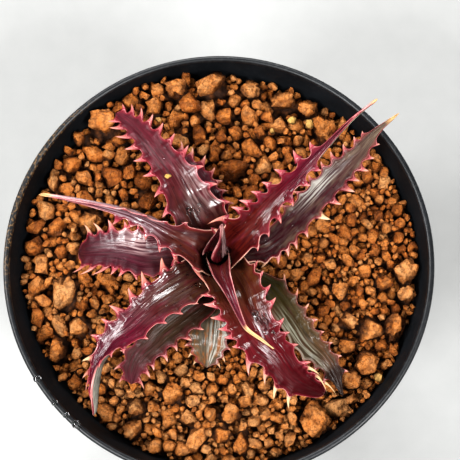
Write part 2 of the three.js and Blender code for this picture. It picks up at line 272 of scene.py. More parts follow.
# %% Pot sizes and profile
RIM_RADIUS, POT_HEIGHT, BASE_RADIUS = 52.5, 90.0, 38.0
WALL, LIP_WIDTH, FLOOR = 1.2, 1.6, 1.6
COLLAR_HEIGHT, COLLAR_STEP = 9.0, 0.9
BASE_CORNER, COLLAR_CORNER, FLOOR_CORNER = 1.2, 0.3, 1.5  # radii of the moulded corners
DRAIN_HOLES, DRAIN_RADIUS, DRAIN_CIRCLE = 6, 3.5, 24.0
POT_SEGMENTS, DRAIN_SEGMENTS = 240, 32
AXIS = 0.001  # a profile stops this near the axis, and the points there are joined later


def inner_radius(z):
    at_top, at_floor = RIM_RADIUS - LIP_WIDTH, BASE_RADIUS - WALL
    return at_floor + (at_top - at_floor) * (z - FLOOR) / (POT_HEIGHT - FLOOR)


def arc(center, radius, start, end, count):
    """Points on a circle in the plane of radius and height, from one angle to another."""
    return [
        (center[0] + radius * math.cos(math.radians(a)), center[1] + radius * math.sin(math.radians(a)))
        for a in np.linspace(start, end, count)
    ]


def pot_profile():
    """The outline from the underside, up the outside, over the lip and down to the floor inside."""
    collar = POT_HEIGHT - COLLAR_HEIGHT
    neck = inner_radius(collar) + WALL
    lip = LIP_WIDTH / 2
    foot = [(BASE_RADIUS - 2.6, 0.0)] + arc((BASE_RADIUS - BASE_CORNER, BASE_CORNER), BASE_CORNER, -90, -8, 6)
    step = [(neck, collar - 0.5), (neck + 0.15, collar)]
    step += arc((neck + COLLAR_STEP - COLLAR_CORNER, collar + 0.5), COLLAR_CORNER, -90, 0, 4)
    under_lip = [(RIM_RADIUS - 0.12, POT_HEIGHT - 2.2), (RIM_RADIUS - 0.16, POT_HEIGHT - 1.9)]
    lip_ring = arc((RIM_RADIUS - lip, POT_HEIGHT - lip), lip, -20, 180, 14)
    inside = [(inner_radius(z), z) for z in (POT_HEIGHT - LIP_WIDTH, 60, 30)]
    corner = FLOOR + FLOOR_CORNER
    inside += arc((inner_radius(corner) - FLOOR_CORNER, corner), FLOOR_CORNER, 0, -90, 5)
    return foot + step + under_lip + lip_ring + inside


# %% Turn the profile and drill the drain holes
def swept(profile, segments):
    """Points and quads of a profile turned about Z, open at both of its ends."""
    turn = np.linspace(0, 2 * math.pi, segments, endpoint=False)
    points = [(r * math.cos(t), r * math.sin(t), z) for r, z in profile for t in turn]
    return points, ring_faces(len(profile), segments)


def drill_hole(pot, turn):
    """Cuts one drain hole, with a cylinder that reaches well through the floor."""
    place = Vector((DRAIN_CIRCLE * math.cos(turn), DRAIN_CIRCLE * math.sin(turn), FLOOR / 2))
    points, faces = swept([(AXIS, -3), (DRAIN_RADIUS, -3), (DRAIN_RADIUS, 3), (AXIS, 3)], DRAIN_SEGMENTS)
    drill = mesh_object("drill", [Vector(p) + place for p in points], faces)
    tidy_mesh(drill)
    cut = pot.modifiers.new("drain", "BOOLEAN")
    cut.operation, cut.object, cut.solver = "DIFFERENCE", drill, "EXACT"
    bake_modifiers(pot)
    bpy.data.objects.remove(drill)


def build_pot(wall, lip):
    profile = pot_profile()
    points, faces = swept(profile + [(AXIS, FLOOR), (AXIS, 0.0), profile[0]], POT_SEGMENTS)
    pot = mesh_object("nursery_pot", points, faces, [wall, lip])
    tidy_mesh(pot)
    for i in range(DRAIN_HOLES):
        drill_hole(pot, 2 * math.pi * i / DRAIN_HOLES)
    for face in pot.data.polygons:
        face.material_index = int(face.center.z > (POT_HEIGHT - LIP_WIDTH / 2) * MM)
    pot.data.shade_smooth()
    pot.data.set_sharp_from_angle(angle=math.radians(40))
    return pot


# %% [markdown]
# ## Black plastic
#
# Moulded polypropylene is nearly black and half matt. What the eye reads as plastic is the
# unevenness: a faint orange peel from the mould, dull patches where hands and water have been,
# and pale dust on the lip. So the noise goes into the roughness and the bump, and only a
# little of it into the colour. The lip is smoother than the wall, because hands rub it. Its
# pale dust is laid on thicker, so that it also paints part of the lip's grey sheen, and on
# its west side a few crumbs of clay stick to it.

# %% Pot plastic
PLASTIC_DARK, PLASTIC_WORN = (0.003, 0.0042, 0.0056), (0.007, 0.009, 0.012)
DUST_AND_SHEEN_COLOR, CRUMB_COLOR = (0.09, 0.092, 0.09), (0.24, 0.14, 0.06)


def pot_plastic(name, matt, specular, dust_and_sheen, clay=0.0):
    """Matt is the roughness of the dullest parts. Dust and clay say how much lies on them; on the lip the pale
    dust also paints part of its sheen.
    """
    skin = Finish(name, Specular_IOR_Level=specular)
    place = skin.place()
    smear, grain, dust = skin.noise(place, 90, 4), skin.noise(place, 2600, 2), skin.noise(place, 900, 5, 0.7)
    plain = skin.ramp(smear, (0.3, PLASTIC_DARK), (0.75, PLASTIC_WORN))
    # Pale dust: real dust on the wall. On the lip it is laid on thicker and is also a painted part of the lip's
    # sheen.
    color = skin.over(plain, DUST_AND_SHEEN_COLOR, dust, 0.52, 0.72, dust_and_sheen)
    if clay:
        x, y, _ = skin.node("ShaderNodeSeparateXYZ", {0: place}).outputs
        west = skin.product(skin.remap(x, -0.03, -0.042), skin.remap(y, -0.012, 0.004))
        crumbs = skin.remap(skin.noise(place, 1400, 3, 0.6), 0.5, 0.64, 0.0, clay)
        color = skin.mix(skin.product(crumbs, west), color, CRUMB_COLOR)
    skin.feed(Base_Color=color, Roughness=skin.remap(smear, 0.3, 0.7, matt * 0.8, matt))
    skin.bump((grain, 0.006), (smear, 0.04))
    return skin.material


pot = build_pot(pot_plastic("pot_wall", 0.75, 0.2, 0.07), pot_plastic("pot_lip", 0.45, 0.5, 0.3, 0.7))
print("pot:", len(pot.data.polygons), "faces, rim", [round(v * 1000, 1) for v in pot.dimensions])

# %% [markdown]
# ## Where the leaves are
#
# A rosette grows from one short stem. The youngest leaf stands in the heart, and each older
# one leaves the stem a little lower and wraps the younger ones with its sheath. Every leaf
# here is a row of midrib points, as a botanist would measure it. One row of the table says:
#
# - angle: the bearing at which the leaf leaves the stem, in degrees from east
# - rank: its age, from 0 for the youngest
# - path: midrib points from the sheath to the tip, each with x, y, height and half width
# - fold: how far the margins stand above the midrib, halfway and at the tip, for a half width
#   of one
# - roll: how a channelled leaf is scrolled: the turn of its left and right half in degrees,
#   the shares of the length between which the scroll opens, and how much wider it is when flat
# - twist and twist_over: how many degrees the blade turns about its midrib, and between which
#   shares of the length
# - ruffle: how wavy the margins are, with 1 for most leaves
# - left and right: the teeth of each margin. Each has its place as a share of the length and
#   its own length. A tooth that stands out also has its lean towards the tip in degrees, how
#   dry its horn is, from 0 to 1, and how wide its foot is against the others.

# %% The leaf table: lengths in millimetres, tooth places as shares of the leaf's length
LEAVES = {
    "leaf_spear": dict(
        angle=48, rank=0, fold=(0.9, 0.9), roll=(95, 215, 0.42, 1.05, 1.8),
        path=[(0.8, 0.4, 96.5, 2.7), (1.1, 2.0, 102, 2.0), (1.3, 3.1, 107, 1.15), (1.4, 4.0, 112, 0.2)],
    ),
    "leaf_south_narrow": dict(
        angle=285, rank=1, fold=(0.6, 0.4), roll=(125, 135, 0.1, 0.36, 2.3),
        path=[(0.7, -2.3, 96.3, 3.1), (1.4, -5.4, 98.1, 2.5), (2.6, -8.3, 99.8, 1.9),
              (3.9, -11.5, 101.3, 1.4), (5.6, -15.7, 102.8, 1.0), (7.2, -18.5, 103.3, 0.75),
              (10.6, -20.9, 102.3, 0.55), (13.3, -22.8, 100.8, 0.1)],
    ),
    "leaf_northeast_upper": dict(
        angle=38, rank=2, fold=(0.35, 0.7), ruffle=1.7,
        path=[(5.5, 4.2, 97, 4.7), (9.3, 7.2, 100, 3.6), (13.1, 11.2, 102.5, 2.9), (17.8, 15.7, 104.5, 2.3),
              (25.2, 23.3, 106.5, 1.3), (31.8, 30.1, 107, 0.7), (37.9, 35.1, 106.5, 0.2)],
        left=[(0.24, 5.5, -70), (0.31, 2.6), (0.36, 2.6), (0.41, 2.0), (0.46, 1.8), (0.53, 2.2),
              (0.61, 2.5), (0.68, 1.4)],
        right=[(0.27, 1.2), (0.33, 1.2), (0.4, 1.8), (0.48, 1.4), (0.56, 1.4), (0.63, 1.2)],
    ),
    "leaf_west_upper": dict(
        angle=163, rank=3, fold=(0.5, 0.9), ruffle=1.2, twist=-62, twist_over=(0.28, 0.5),
        path=[(-4.9, 1.7, 95.6, 4.9), (-10.6, 4.4, 97.5, 3.2), (-15.7, 7.2, 100, 2.3),
              (-21.4, 9.2, 102, 1.6), (-27.1, 10.5, 103.3, 1.1), (-34.1, 11.9, 104, 0.65),
              (-41.4, 13.2, 104, 0.2)],
        left=[(0.22, 4.4, -60), (0.31, 1.6), (0.38, 1.6), (0.46, 1.6), (0.55, 1.7), (0.62, 2.3)],
        right=[(0.21, 4.0, -70), (0.33, 0.9), (0.43, 0.8), (0.52, 0.8), (0.61, 0.7)],
    ),
    "leaf_southeast_broad": dict(
        angle=300, rank=4, fold=(0.25, 0.2),
        path=[(4.8, -8.5, 97, 6.0), (7.1, -13.9, 98.2, 5.5), (10.7, -20.5, 97.3, 5.0),
              (14.0, -24.0, 95.6, 4.2), (17.1, -28.0, 93, 3.8), (20.6, -30.2, 90.6, 3.2),
              (25.4, -32.1, 86.9, 1.7)],
        left=[(0.25, 2.2), (0.31, 1.8), (0.37, 2.1), (0.44, 2.2), (0.54, 1.9), (0.61, 1.5), (0.67, 1.6),
              (0.78, 2.2), (0.815, 5.3, 96, 0.95, 0.68), (0.875, 8.0, 119, 1, 0.5),
              (0.95, 6.3, 107, 1, 0.5)],
        right=[(0.27, 2.4), (0.34, 3.0), (0.4, 2.8), (0.45, 2.4), (0.49, 2.1), (0.535, 1.6),
               (0.595, 3.9, 46), (0.7, 2.8, 44, 0.4), (0.775, 3.4, 33, 0.9, 0.75),
               (0.835, 3.9, 36, 0.9, 0.7)],
    ),
    "leaf_northwest_broad": dict(
        angle=115, rank=5, fold=(0.25, 0.15),
        path=[(-3.4, 8.0, 94.5, 6.6), (-6.8, 13.6, 97.5, 5.5), (-9.8, 19.0, 98, 4.5),
              (-13.8, 24.5, 97, 3.7), (-18.2, 30.2, 95, 2.9), (-22.3, 34.7, 92, 2.1),
              (-25.6, 37.6, 89.5, 0.9)],
        left=[(0.29, 2.2), (0.38, 2.4), (0.47, 2.4), (0.57, 2.5), (0.66, 2.6), (0.74, 3.0), (0.82, 3.2),
              (0.9, 3.2), (0.96, 2.8)],
        right=[(0.29, 2.2), (0.39, 2.5), (0.48, 2.3), (0.56, 2.7), (0.65, 2.6), (0.73, 2.7), (0.8, 3.0),
               (0.86, 3.0), (0.92, 2.9), (0.97, 2.5)],
    ),
    "leaf_southwest_upper": dict(
        angle=222, rank=6, fold=(0.25, 1.0), twist=65,
        path=[(-6.0, -5.7, 94.5, 5.3), (-12.5, -10.2, 96.3, 4.8), (-16.1, -13.1, 96.3, 4.2),
              (-20.8, -17.3, 95.2, 3.9), (-24.0, -19.4, 94, 3.3), (-26.4, -22.0, 92.8, 2.5),
              (-28.4, -25.5, 91.3, 1.8), (-29.3, -30.9, 90, 1.3), (-29.5, -37.1, 88.5, 0.3)],
        left=[(0.28, 0.9), (0.36, 1.3), (0.44, 1.3), (0.54, 1.3), (0.62, 1.3), (0.69, 1.3), (0.76, 1.5)],
        right=[(0.25, 3.0), (0.31, 3.6), (0.4, 3.6), (0.47, 2.9), (0.55, 3.1), (0.63, 2.2), (0.69, 2.4),
               (0.774, 3.1, 36, 0.8, 0.75), (0.824, 3.1, 48, 0.3, 0.8), (0.855, 2.8, 72, 0.1, 0.8),
               (0.9, 2.6, 110, 0.0, 0.8)],
    ),
    "leaf_west_lower": dict(
        angle=178, rank=7, fold=(0.25, 0.15),
        path=[(-11.5, 1.4, 92, 5.4), (-17.4, 0.9, 93.3, 5.4), (-23.4, 2.0, 93.5, 4.6),
              (-28.4, 2.1, 92.5, 4.1), (-31.6, 2.3, 90.8, 3.7), (-34.3, 2.8, 87.5, 2.0)],
        left=[(0.46, 1.4), (0.53, 1.6), (0.6, 2.0), (0.67, 2.2), (0.74, 4.3, 64, 0.15, 0.75),
              (0.82, 4.6, 66, 0.2, 0.75), (0.895, 4.4, 68, 0.2, 0.75)],
        right=[(0.5, 1.2), (0.57, 1.4), (0.64, 2.2), (0.71, 3.0), (0.79, 3.2, 36, 0.4, 0.8),
               (0.88, 3.6, 42, 0.45, 0.8)],
    ),
    "leaf_northeast_lower": dict(
        angle=26, rank=8, fold=(0.25, 0.3),
        path=[(11.8, 3.2, 92, 3.4), (18.2, 8.2, 95, 3.4), (25.0, 15.1, 97.5, 3.3), (28.7, 18.9, 98.5, 3.1),
              (33.5, 23.6, 99.3, 2.3), (38.1, 29.1, 99.7, 1.3), (43.8, 33.9, 99.5, 0.3)],
        left=[(0.4, 1.6), (0.48, 1.6), (0.55, 1.6), (0.62, 1.8), (0.67, 2.2), (0.73, 1.8), (0.79, 1.5),
              (0.83, 1.0)],
        right=[(0.165, 1.8, -62, 0.6), (0.21, 2.0, -48, 0.5), (0.25, 2.4), (0.29, 2.2), (0.33, 2.2),
               (0.39, 2.0), (0.47, 3.0, 20, 0.8), (0.55, 2.4), (0.62, 2.9), (0.67, 2.2), (0.72, 2.4),
               (0.77, 1.8), (0.83, 1.2)],
    ),
    "leaf_southeast_lower": dict(
        angle=325, rank=9, fold=(0.2, 0.2),
        path=[(12.4, -7.6, 90.8, 3.6), (16.4, -12.7, 91.3, 3.6), (19.0, -16.6, 91.2, 3.5),
              (21.7, -20.3, 90.5, 3.4), (25.5, -24.0, 89.2, 2.6), (27.8, -27.3, 88, 2.0),
              (30.0, -32.8, 85.8, 0.5)],
        left=[(0.34, 2.4, -50, 0.2, 0.7), (0.42, 2.0, -30, 0.2, 0.7), (0.5, 2.0, -20, 0.2, 0.7),
              (0.57, 1.6), (0.65, 1.2), (0.73, 1.3), (0.8, 1.4), (0.87, 1.6)],
        right=[(0.61, 1.2), (0.69, 1.3), (0.77, 1.5), (0.86, 1.7)],
    ),
    "leaf_southwest_lower": dict(
        angle=240, rank=10, fold=(0.2, 0.15),
        path=[(-3.9, -10.0, 89.3, 4.3), (-7.9, -13.5, 90, 4.1), (-12.6, -17.3, 90.4, 3.9),
              (-16.2, -20.9, 90, 3.5), (-19.1, -23.7, 89.2, 3.1), (-20.7, -26.9, 87.5, 2.5),
              (-21.1, -29.6, 85.3, 1.0)],
        left=[(0.39, 1.6), (0.49, 1.9), (0.58, 1.8), (0.67, 2.2), (0.76, 1.8), (0.85, 2.4), (0.95, 2.6)],
        right=[(0.72, 1.6), (0.81, 1.8), (0.89, 2.4), (0.96, 2.2)],
    ),
    "leaf_north_old": dict(
        angle=95, rank=11, fold=(0.2, 0.15),
        path=[(0.0, 11.5, 88.6, 2.8), (-1.8, 15.7, 89, 2.8), (-5.5, 21.7, 88.6, 2.7),
              (-10.9, 26.7, 87.2, 2.0), (-13.2, 29.6, 86.2, 0.8)],
        left=[(0.5, 1.8), (0.6, 1.8), (0.7, 2.0), (0.8, 2.2), (0.9, 2.4)],
        right=[(0.36, 1.8), (0.45, 1.8), (0.53, 1.8), (0.6, 2.0), (0.69, 2.6), (0.79, 2.6), (0.88, 2.8)],
    ),
    "leaf_south_old": dict(
        angle=262, rank=12, fold=(0.15, 0.1),
        path=[(-1.7, -10.8, 86.9, 4.6), (-2.2, -15.6, 86.9, 4.8), (-2.4, -19.9, 86.3, 4.4),
              (-2.8, -23.2, 84.2, 2.8), (-3.0, -25.4, 81.5, 0.8)],
        left=[(0.5, 1.2), (0.62, 1.3), (0.72, 1.4), (0.81, 1.8, 50, 0.6), (0.9, 2.2, 60, 0.6)],
        right=[(0.5, 1.2), (0.62, 1.2), (0.72, 1.5), (0.81, 1.8, 50, 0.7), (0.9, 2.0, 60, 0.7)],
    ),
}
TEETH = [leaf.get(side, ()) for leaf in LEAVES.values() for side in ("left", "right")]
print("leaves:", len(LEAVES), "teeth:", sum(map(len, TEETH)))

# %% [markdown]
# ## The blade
#
# A blade is a long crescent that changes along its way: thick in the middle, thin and blunt
# at the margins, folded more at the sheath than at mid blade. A curve object with a bevel
# can't change its section like that, so the blade is a grid of points: a smooth curve through
# the midrib points, a frame of three directions carried along it without twisting, and a ring
# of points in each frame. The margin bulges a little where a tooth stands and is hollow
# between two teeth, which gives the wavy outline.

# %% The midrib: two points inside the sheath, and a smooth curve through all of them
ROOT_TOP, ROOT_DROP = 86.0, 0.5  # height of the youngest leaf's root, and the drop to each older one
ROOT_CIRCLE, SHEATH_CIRCLE = (1.2, 0.42), (2.2, 0.5)  # radius for the youngest, and more for each older one


def midrib_knots(leaf):
    """The points that the midrib runs through: two inside the sheath, and those of the table."""
    turn, rank, crown = math.radians(leaf["angle"]), leaf["rank"], leaf["path"][0]
    root_z = ROOT_TOP - ROOT_DROP * rank
    sheath_z = root_z + 0.55 * (crown[2] - root_z)

    def ray(radius, z, half):
        return (radius * math.cos(turn), radius * math.sin(turn), z, half)

    inner = ray(ROOT_CIRCLE[0] + ROOT_CIRCLE[1] * rank, root_z, crown[3] * 0.8)
    outer = ray(SHEATH_CIRCLE[0] + SHEATH_CIRCLE[1] * rank, sheath_z, crown[3])
    return np.array([inner, outer, *leaf["path"]], dtype=float)


def smooth_through(knots, count):
    """A Catmull-Rom curve through the knots, with its end points mirrored."""
    last = len(knots) - 1
    padded = np.vstack([2 * knots[0] - knots[1], knots, 2 * knots[-1] - knots[-2]])
    place = np.linspace(0, last, count)
    index = np.minimum(place.astype(int), last - 1)
    t = (place - index)[:, None]
    a, b, c, d = (padded[index + i] for i in range(4))
    leave, arrive = (c - a) / 2, (d - b) / 2
    return b + leave * t + (3 * (c - b) - 2 * leave - arrive) * t**2 + (2 * (b - c) + leave + arrive) * t**3


def smoothstep(value, low, high):
    t = np.clip((value - low) / (high - low), 0, 1)
    return t * t * (3 - 2 * t)


# %% Soft noise
NOISE_STEP = (7.31, 3.17, 5.71)  # how far one seed's noise lies from the next one's


def lumps(points, scale, seed):
    """Soft noise from -1 to 1 at every point, the same on every run."""
    shift = Vector([seed * step for step in NOISE_STEP])
    return np.array([noise_field.noise(Vector(p) * scale + shift) for p in points])


# %% The frame that is carried along the midrib, and the section in it
SHEATH_SHARE, SHEATH_FOLD = 0.22, 0.8
TIP_SHARE = 0.035  # the last stretch, which is rounded off
LEAF_THICKNESS, MARGIN_THICKNESS = 1.3, 0.3
LEAST_HALF, SLIM_HALF = 0.06, 3  # half widths: at the very tip, and where a blade counts as narrow
MIDRIB_STEPS, RING_PITCH = 900, 0.35  # steps of the fine curve, and millimetres from ring to ring
BULGE, BULGE_WIDTH = 1.05, 0.85  # how far a margin bulges at a tooth, and over what length
WAVE = 0.75  # how far the margin rises at a tooth
RELIEF, GROOVE, GROOVE_WIDTH = 0.28, 0.5, 0.13  # swellings of the upper face, and the groove on its midrib


class Blade:
    """The midrib of one leaf in even steps, with its side and face directions."""

    def __init__(self, leaf):
        self.seed = leaf["rank"] * 3.7
        self.roll = leaf.get("roll")
        self.ruffle = leaf.get("ruffle", 1.0)
        self.teeth = {+1: leaf.get("left", ()), -1: leaf.get("right", ())}
        self.lay_midrib(leaf)
        self.carry_frame(leaf)
        middle, tip = leaf["fold"]
        fold = middle + (tip - middle) * smoothstep(self.share, 0.5, 1.0)
        to_base = np.clip(1 - self.share / SHEATH_SHARE, 0, 1)
        self.rise = self.half * (fold + (SHEATH_FOLD - fold) * to_base)
        end = np.clip((self.share - (1 - TIP_SHARE)) / TIP_SHARE, 0, 1)
        self.round = np.sqrt(1 - 0.985 * end**2)
        self.slim = np.minimum(1, self.half / SLIM_HALF)  # narrow parts are smoother
        self.thick = LEAF_THICKNESS * np.minimum(1, 0.25 + self.half / SLIM_HALF) * self.round
        self.flank = (self.half * self.round)[:, None]  # from the midrib to the margin

    def lay_midrib(self, leaf):
        """Even steps along the curve, and the direction of each."""
        fine = smooth_through(midrib_knots(leaf), MIDRIB_STEPS)
        run = np.r_[0, np.cumsum(np.linalg.norm(np.diff(fine[:, :3], axis=0), axis=1))]
        self.length = run[-1]
        self.share = np.linspace(0, 1, int(self.length / RING_PITCH) + 1)
        even = np.stack([np.interp(self.share * self.length, run, fine[:, i]) for i in range(4)], axis=1)
        self.center, self.half = even[:, :3], np.maximum(even[:, 3], LEAST_HALF)
        self.along = np.gradient(self.center, axis=0)
        self.along /= np.linalg.norm(self.along, axis=1)[:, None]

    def carry_frame(self, leaf):
        """Carries the side direction along the midrib unturned, and then adds the leaf's twist."""
        turn = math.radians(leaf["angle"])
        side = np.array([-math.sin(turn), math.cos(turn), 0.0])
        self.side = np.zeros_like(self.center)
        for i, along in enumerate(self.along):
            side = side - along * side.dot(along)
            side /= np.linalg.norm(side)
            self.side[i] = side
        self.face = np.cross(self.along, self.side)
        twisted = smoothstep(self.share, *leaf.get("twist_over", (0.5, 1.0)))
        twist = np.radians(leaf.get("twist", 0) * twisted)[:, None]
        self.side, self.face = (
            self.side * np.cos(twist) + self.face * np.sin(twist),
            self.face * np.cos(twist) - self.side * np.sin(twist),
        )

    def at(self, share, values):
        """One of the lists of this blade, read at a share of its length."""
        return np.array([np.interp(share, self.share, values[:, i]) for i in range(values.shape[1])])

    def bulge(self, side):
        """How far the margin on one side bulges at each ring, from 0 to 1."""
        total = np.zeros_like(self.share)
        for tooth in self.teeth[side]:
            away = np.abs((self.share - tooth[0]) * self.length / BULGE_WIDTH)
            total = np.maximum(total, np.exp(-(away**1.5)))
        return total * (self.share > SHEATH_SHARE * 0.8)

    def bulge_across(self, across):
        """The bulge of the margin that each place across the blade belongs to."""
        return np.where(across > 0, self.bulge(+1)[:, None], self.bulge(-1)[:, None])

    def rolled(self, across, out, up):
        """Turns the section into a scroll: each half is an arc that turns by its own angle."""
        left, right, start, stop, width = self.roll
        turn = np.radians(np.where(across > 0, left, right)) * np.ones_like(out)
        radius = np.maximum(self.flank * width, 0.01) / turn
        angle = np.abs(across) * self.flank * width / radius
        weight = 1 - smoothstep(self.share, start, stop)[:, None]
        arc_out, arc_up = np.sign(across) * radius * np.sin(angle), radius * (1 - np.cos(angle))
        return out + (arc_out - out) * weight, up + (arc_up - up) * weight

    def spot(self, share, across):
        """A point on the upper face, and the direction that the face looks in there."""
        patch = self.rings(np.array([across - 0.04, across, across + 0.04]), True)
        row = int(round(share * (len(self.share) - 1)))
        normal = np.cross(patch[row + 2, 1] - patch[row - 2, 1], patch[row, 2] - patch[row, 0])
        return patch[row, 1], normal / np.linalg.norm(normal)

    def swellings(self, across):
        """Uneven growth of the upper face: low swellings, a few creases and the midrib's groove."""
        rows, columns = len(self.share), across.shape[1]
        way = np.repeat(self.share * self.length, columns)
        side = (across * self.half[:, None]).ravel()
        spots = np.stack([side * 0.55, way * 0.16, np.full(len(way), self.seed)], axis=1)
        ribs = np.stack([side * 1.5, way * 0.05, np.full(len(way), self.seed + 9)], axis=1)
        soft = lumps(spots, 1.0, 11) * 0.7 + lumps(ribs, 1.0, 12) * 0.45
        groove = -GROOVE * np.exp(-((across / GROOVE_WIDTH) ** 2))
        return (soft.reshape(rows, columns) + groove) * RELIEF * 2 * self.slim[:, None]

    def rings(self, across, top):
        """Points of one side of the blade: rows are rings, columns are places across."""
        across = np.asarray(across)[None, :]
        size = np.abs(across)
        bulge = self.bulge_across(across)
        widened = np.sign(across) * smoothstep(size, 0.55, 1.0) * (bulge - 0.35) * BULGE * self.ruffle
        out = across * self.flank + widened * self.round[:, None]
        pleat = smoothstep(size, 0.3, 1.0) * (bulge - 0.4) * WAVE * self.ruffle
        up = self.rise[:, None] * (0.3 * size + 0.7 * size**2) + pleat * self.slim[:, None]
        if self.roll:
            out, up = self.rolled(across, out, up)
        if top:
            up = up + self.swellings(across) * (1 - size**4)
        else:
            body = self.thick[:, None] * (1 - size**2.4)
            up = up - body - MARGIN_THICKNESS * self.round[:, None]
        sideways, upwards = self.side[:, None, :] * out[..., None], self.face[:, None, :] * up[..., None]
        return self.center[:, None, :] + sideways + upwards


# %% Turn the rings into one closed blade, and write on its points what the finish needs
TOP_COLUMNS, UNDER_COLUMNS = 21, 11


def blade_object(name, blade):
    spread = np.sin(np.linspace(-math.pi / 2, math.pi / 2, TOP_COLUMNS))
    under = np.sin(np.linspace(math.pi / 2, -math.pi / 2, UNDER_COLUMNS))
    across = np.concatenate([spread, under])
    rows, columns = len(blade.share), len(across)
    grid = np.concatenate([blade.rings(spread, True), blade.rings(under, False)], axis=1)
    root, tip = grid[0].mean(axis=0), blade.center[-1] + blade.along[-1] * 0.1
    points = np.vstack([grid.reshape(-1, 3), root, tip])
    first, last, top = rows * columns, rows * columns + 1, (rows - 1) * columns
    faces = ring_faces(rows, columns, turned=True)
    faces += [(first, k, (k + 1) % columns) for k in range(columns)]
    faces += [(last, top + (k + 1) % columns, top + k) for k in range(columns)]
    piece = mesh_object(name, points, faces)

    def store_grid(label, values, at_root=0.0, at_tip=0.0):
        """Writes a value for each ring and place across, and one for each end point."""
        spread_out = np.broadcast_to(values, (rows, columns))
        store(piece.data, label, np.r_[spread_out.ravel(), [at_root, at_tip]])

    share = blade.share[:, None]
    store_grid("across", across)
    store_grid("share", share, 0.0, 1.0)
    store_grid("edge", (1 - np.abs(across)) * blade.half[:, None], at_root=2.0)
    store_grid("under", np.arange(columns) >= TOP_COLUMNS)
    store_grid("near_tooth", blade.bulge_across(across[None, :]) if blade.teeth[+1] else 1.0)
    store_grid("way", share * blade.length, 0.0, blade.length)
    return piece


# %% [markdown]
# ## The teeth
#
# Each tooth is a flat hook: a broad base that runs out along the margin, and a sharp point
# that bends. Two hundred of them are the same few shapes at different sizes, which is what
# Geometry Nodes are for. The script models eight hooks of a few dozen faces, four that bend
# each way, lays one point with a rotation and a size at each tooth's place, and a node tree
# puts a hook on each point, turns the copies into real mesh and joins them to the blade.

# %% Hooks to copy: stations along a hook with their widths, and how far each hook bends
TOOTH_STATIONS = ((-0.12, 1.2), (0.0, 1.02), (0.14, 0.78), (0.32, 0.55), (0.55, 0.38), (0.78, 0.22))
TOOTH_SIDES = 6
HOOK_BENDS = (-3.8, -1.5, -0.85, -0.35, 0.35, 0.85, 1.5, 3.8)


def hook(name, bend):
    """A tooth of unit length along +X. Its base lies along Y, and bend curves its point to +Y."""
    points, reach = [], []
    for x, width in TOOTH_STATIONS:
        middle = bend * max(x, 0) ** 1.7
        wide, deep = width / 2, 0.1 + 0.12 * width
        for turn in range(TOOTH_SIDES):
            angle = 2 * math.pi / TOOTH_SIDES * turn
            points.append((x, middle + wide * math.cos(angle), deep * math.sin(angle) * 0.5))
            reach.append(max(x, 0))
    tip, foot = len(points), len(points) + 1
    points += [(1.0, bend, 0.0), (TOOTH_STATIONS[0][0], 0.0, 0.0)]
    reach += [1.0, 0.0]
    faces = ring_faces(len(TOOTH_STATIONS), TOOTH_SIDES)
    top = tip - TOOTH_SIDES
    faces += [(top + k, top + (k + 1) % TOOTH_SIDES, tip) for k in range(TOOTH_SIDES)]
    faces += [((k + 1) % TOOTH_SIDES, k, foot) for k in range(TOOTH_SIDES)]
    store(shape_to_copy(name, points, faces, HOOKS).data, "reach", reach)


HOOKS = bpy.data.collections.new("hooks")
for number, bend in enumerate(HOOK_BENDS):
    hook(f"hook_{number}", bend)

# %% A point for every tooth
TOOTH_LEAN = (-35.0, 55.0)  # teeth point backwards near the base, and forwards at the tip
LEAN_STARTS = 0.25  # the share of the length at which the first of these holds
MOST_LEAN = 70.0  # a hook bends up to this lean, and more lean turns the whole tooth
TOOTH_THICKNESS = 1.7
WIDEST_TOOTH = 2.7


def points_object(name, places, attributes):
    """Loose points that carry attributes, as food for a node tree. It is not part of the scene."""
    mesh = bpy.data.meshes.new(name)
    mesh.from_pydata((np.asarray(places) * MM).tolist(), [], [])
    for key, (kind, values) in attributes.items():
        layer = mesh.attributes.new(key, kind, "POINT")
        field = "vector" if kind == "FLOAT_VECTOR" else "value"
        layer.data.foreach_set(field, np.asarray(values).ravel())
    return bpy.data.objects.new(name, mesh)


def tooth_values(tooth):
    """A tooth's share, length, lean, horn and width factor. What the table leaves out follows a rule."""
    share, length, *given = tooth
    early, late = TOOTH_LEAN
    lean = early + (late - early) * max(0.0, (share - LEAN_STARTS) / (1 - LEAN_STARTS))
    horn = min(0.2, max(0.0, (length - 2.5) / 6))
    rule = (lean, horn, 1)
    return share, length, *given, *rule[len(given) :]


def tooth_axes(blade, side, share, slope, angle):
    """Directions of a tooth: out of the margin, along it, and the way that its flat side looks."""
    out, along, face = (blade.at(share, values) for values in (blade.side * side, blade.along, blade.face))
    tilt = math.atan(slope * 0.6)
    outward = out * math.cos(tilt) + face * math.sin(tilt)
    x = outward * math.cos(angle) + along * math.sin(angle)
    z = np.cross(outward, along) * side
    y = np.cross(z, x)
    return x, y, z, (1 if y.dot(along) > 0 else -1)


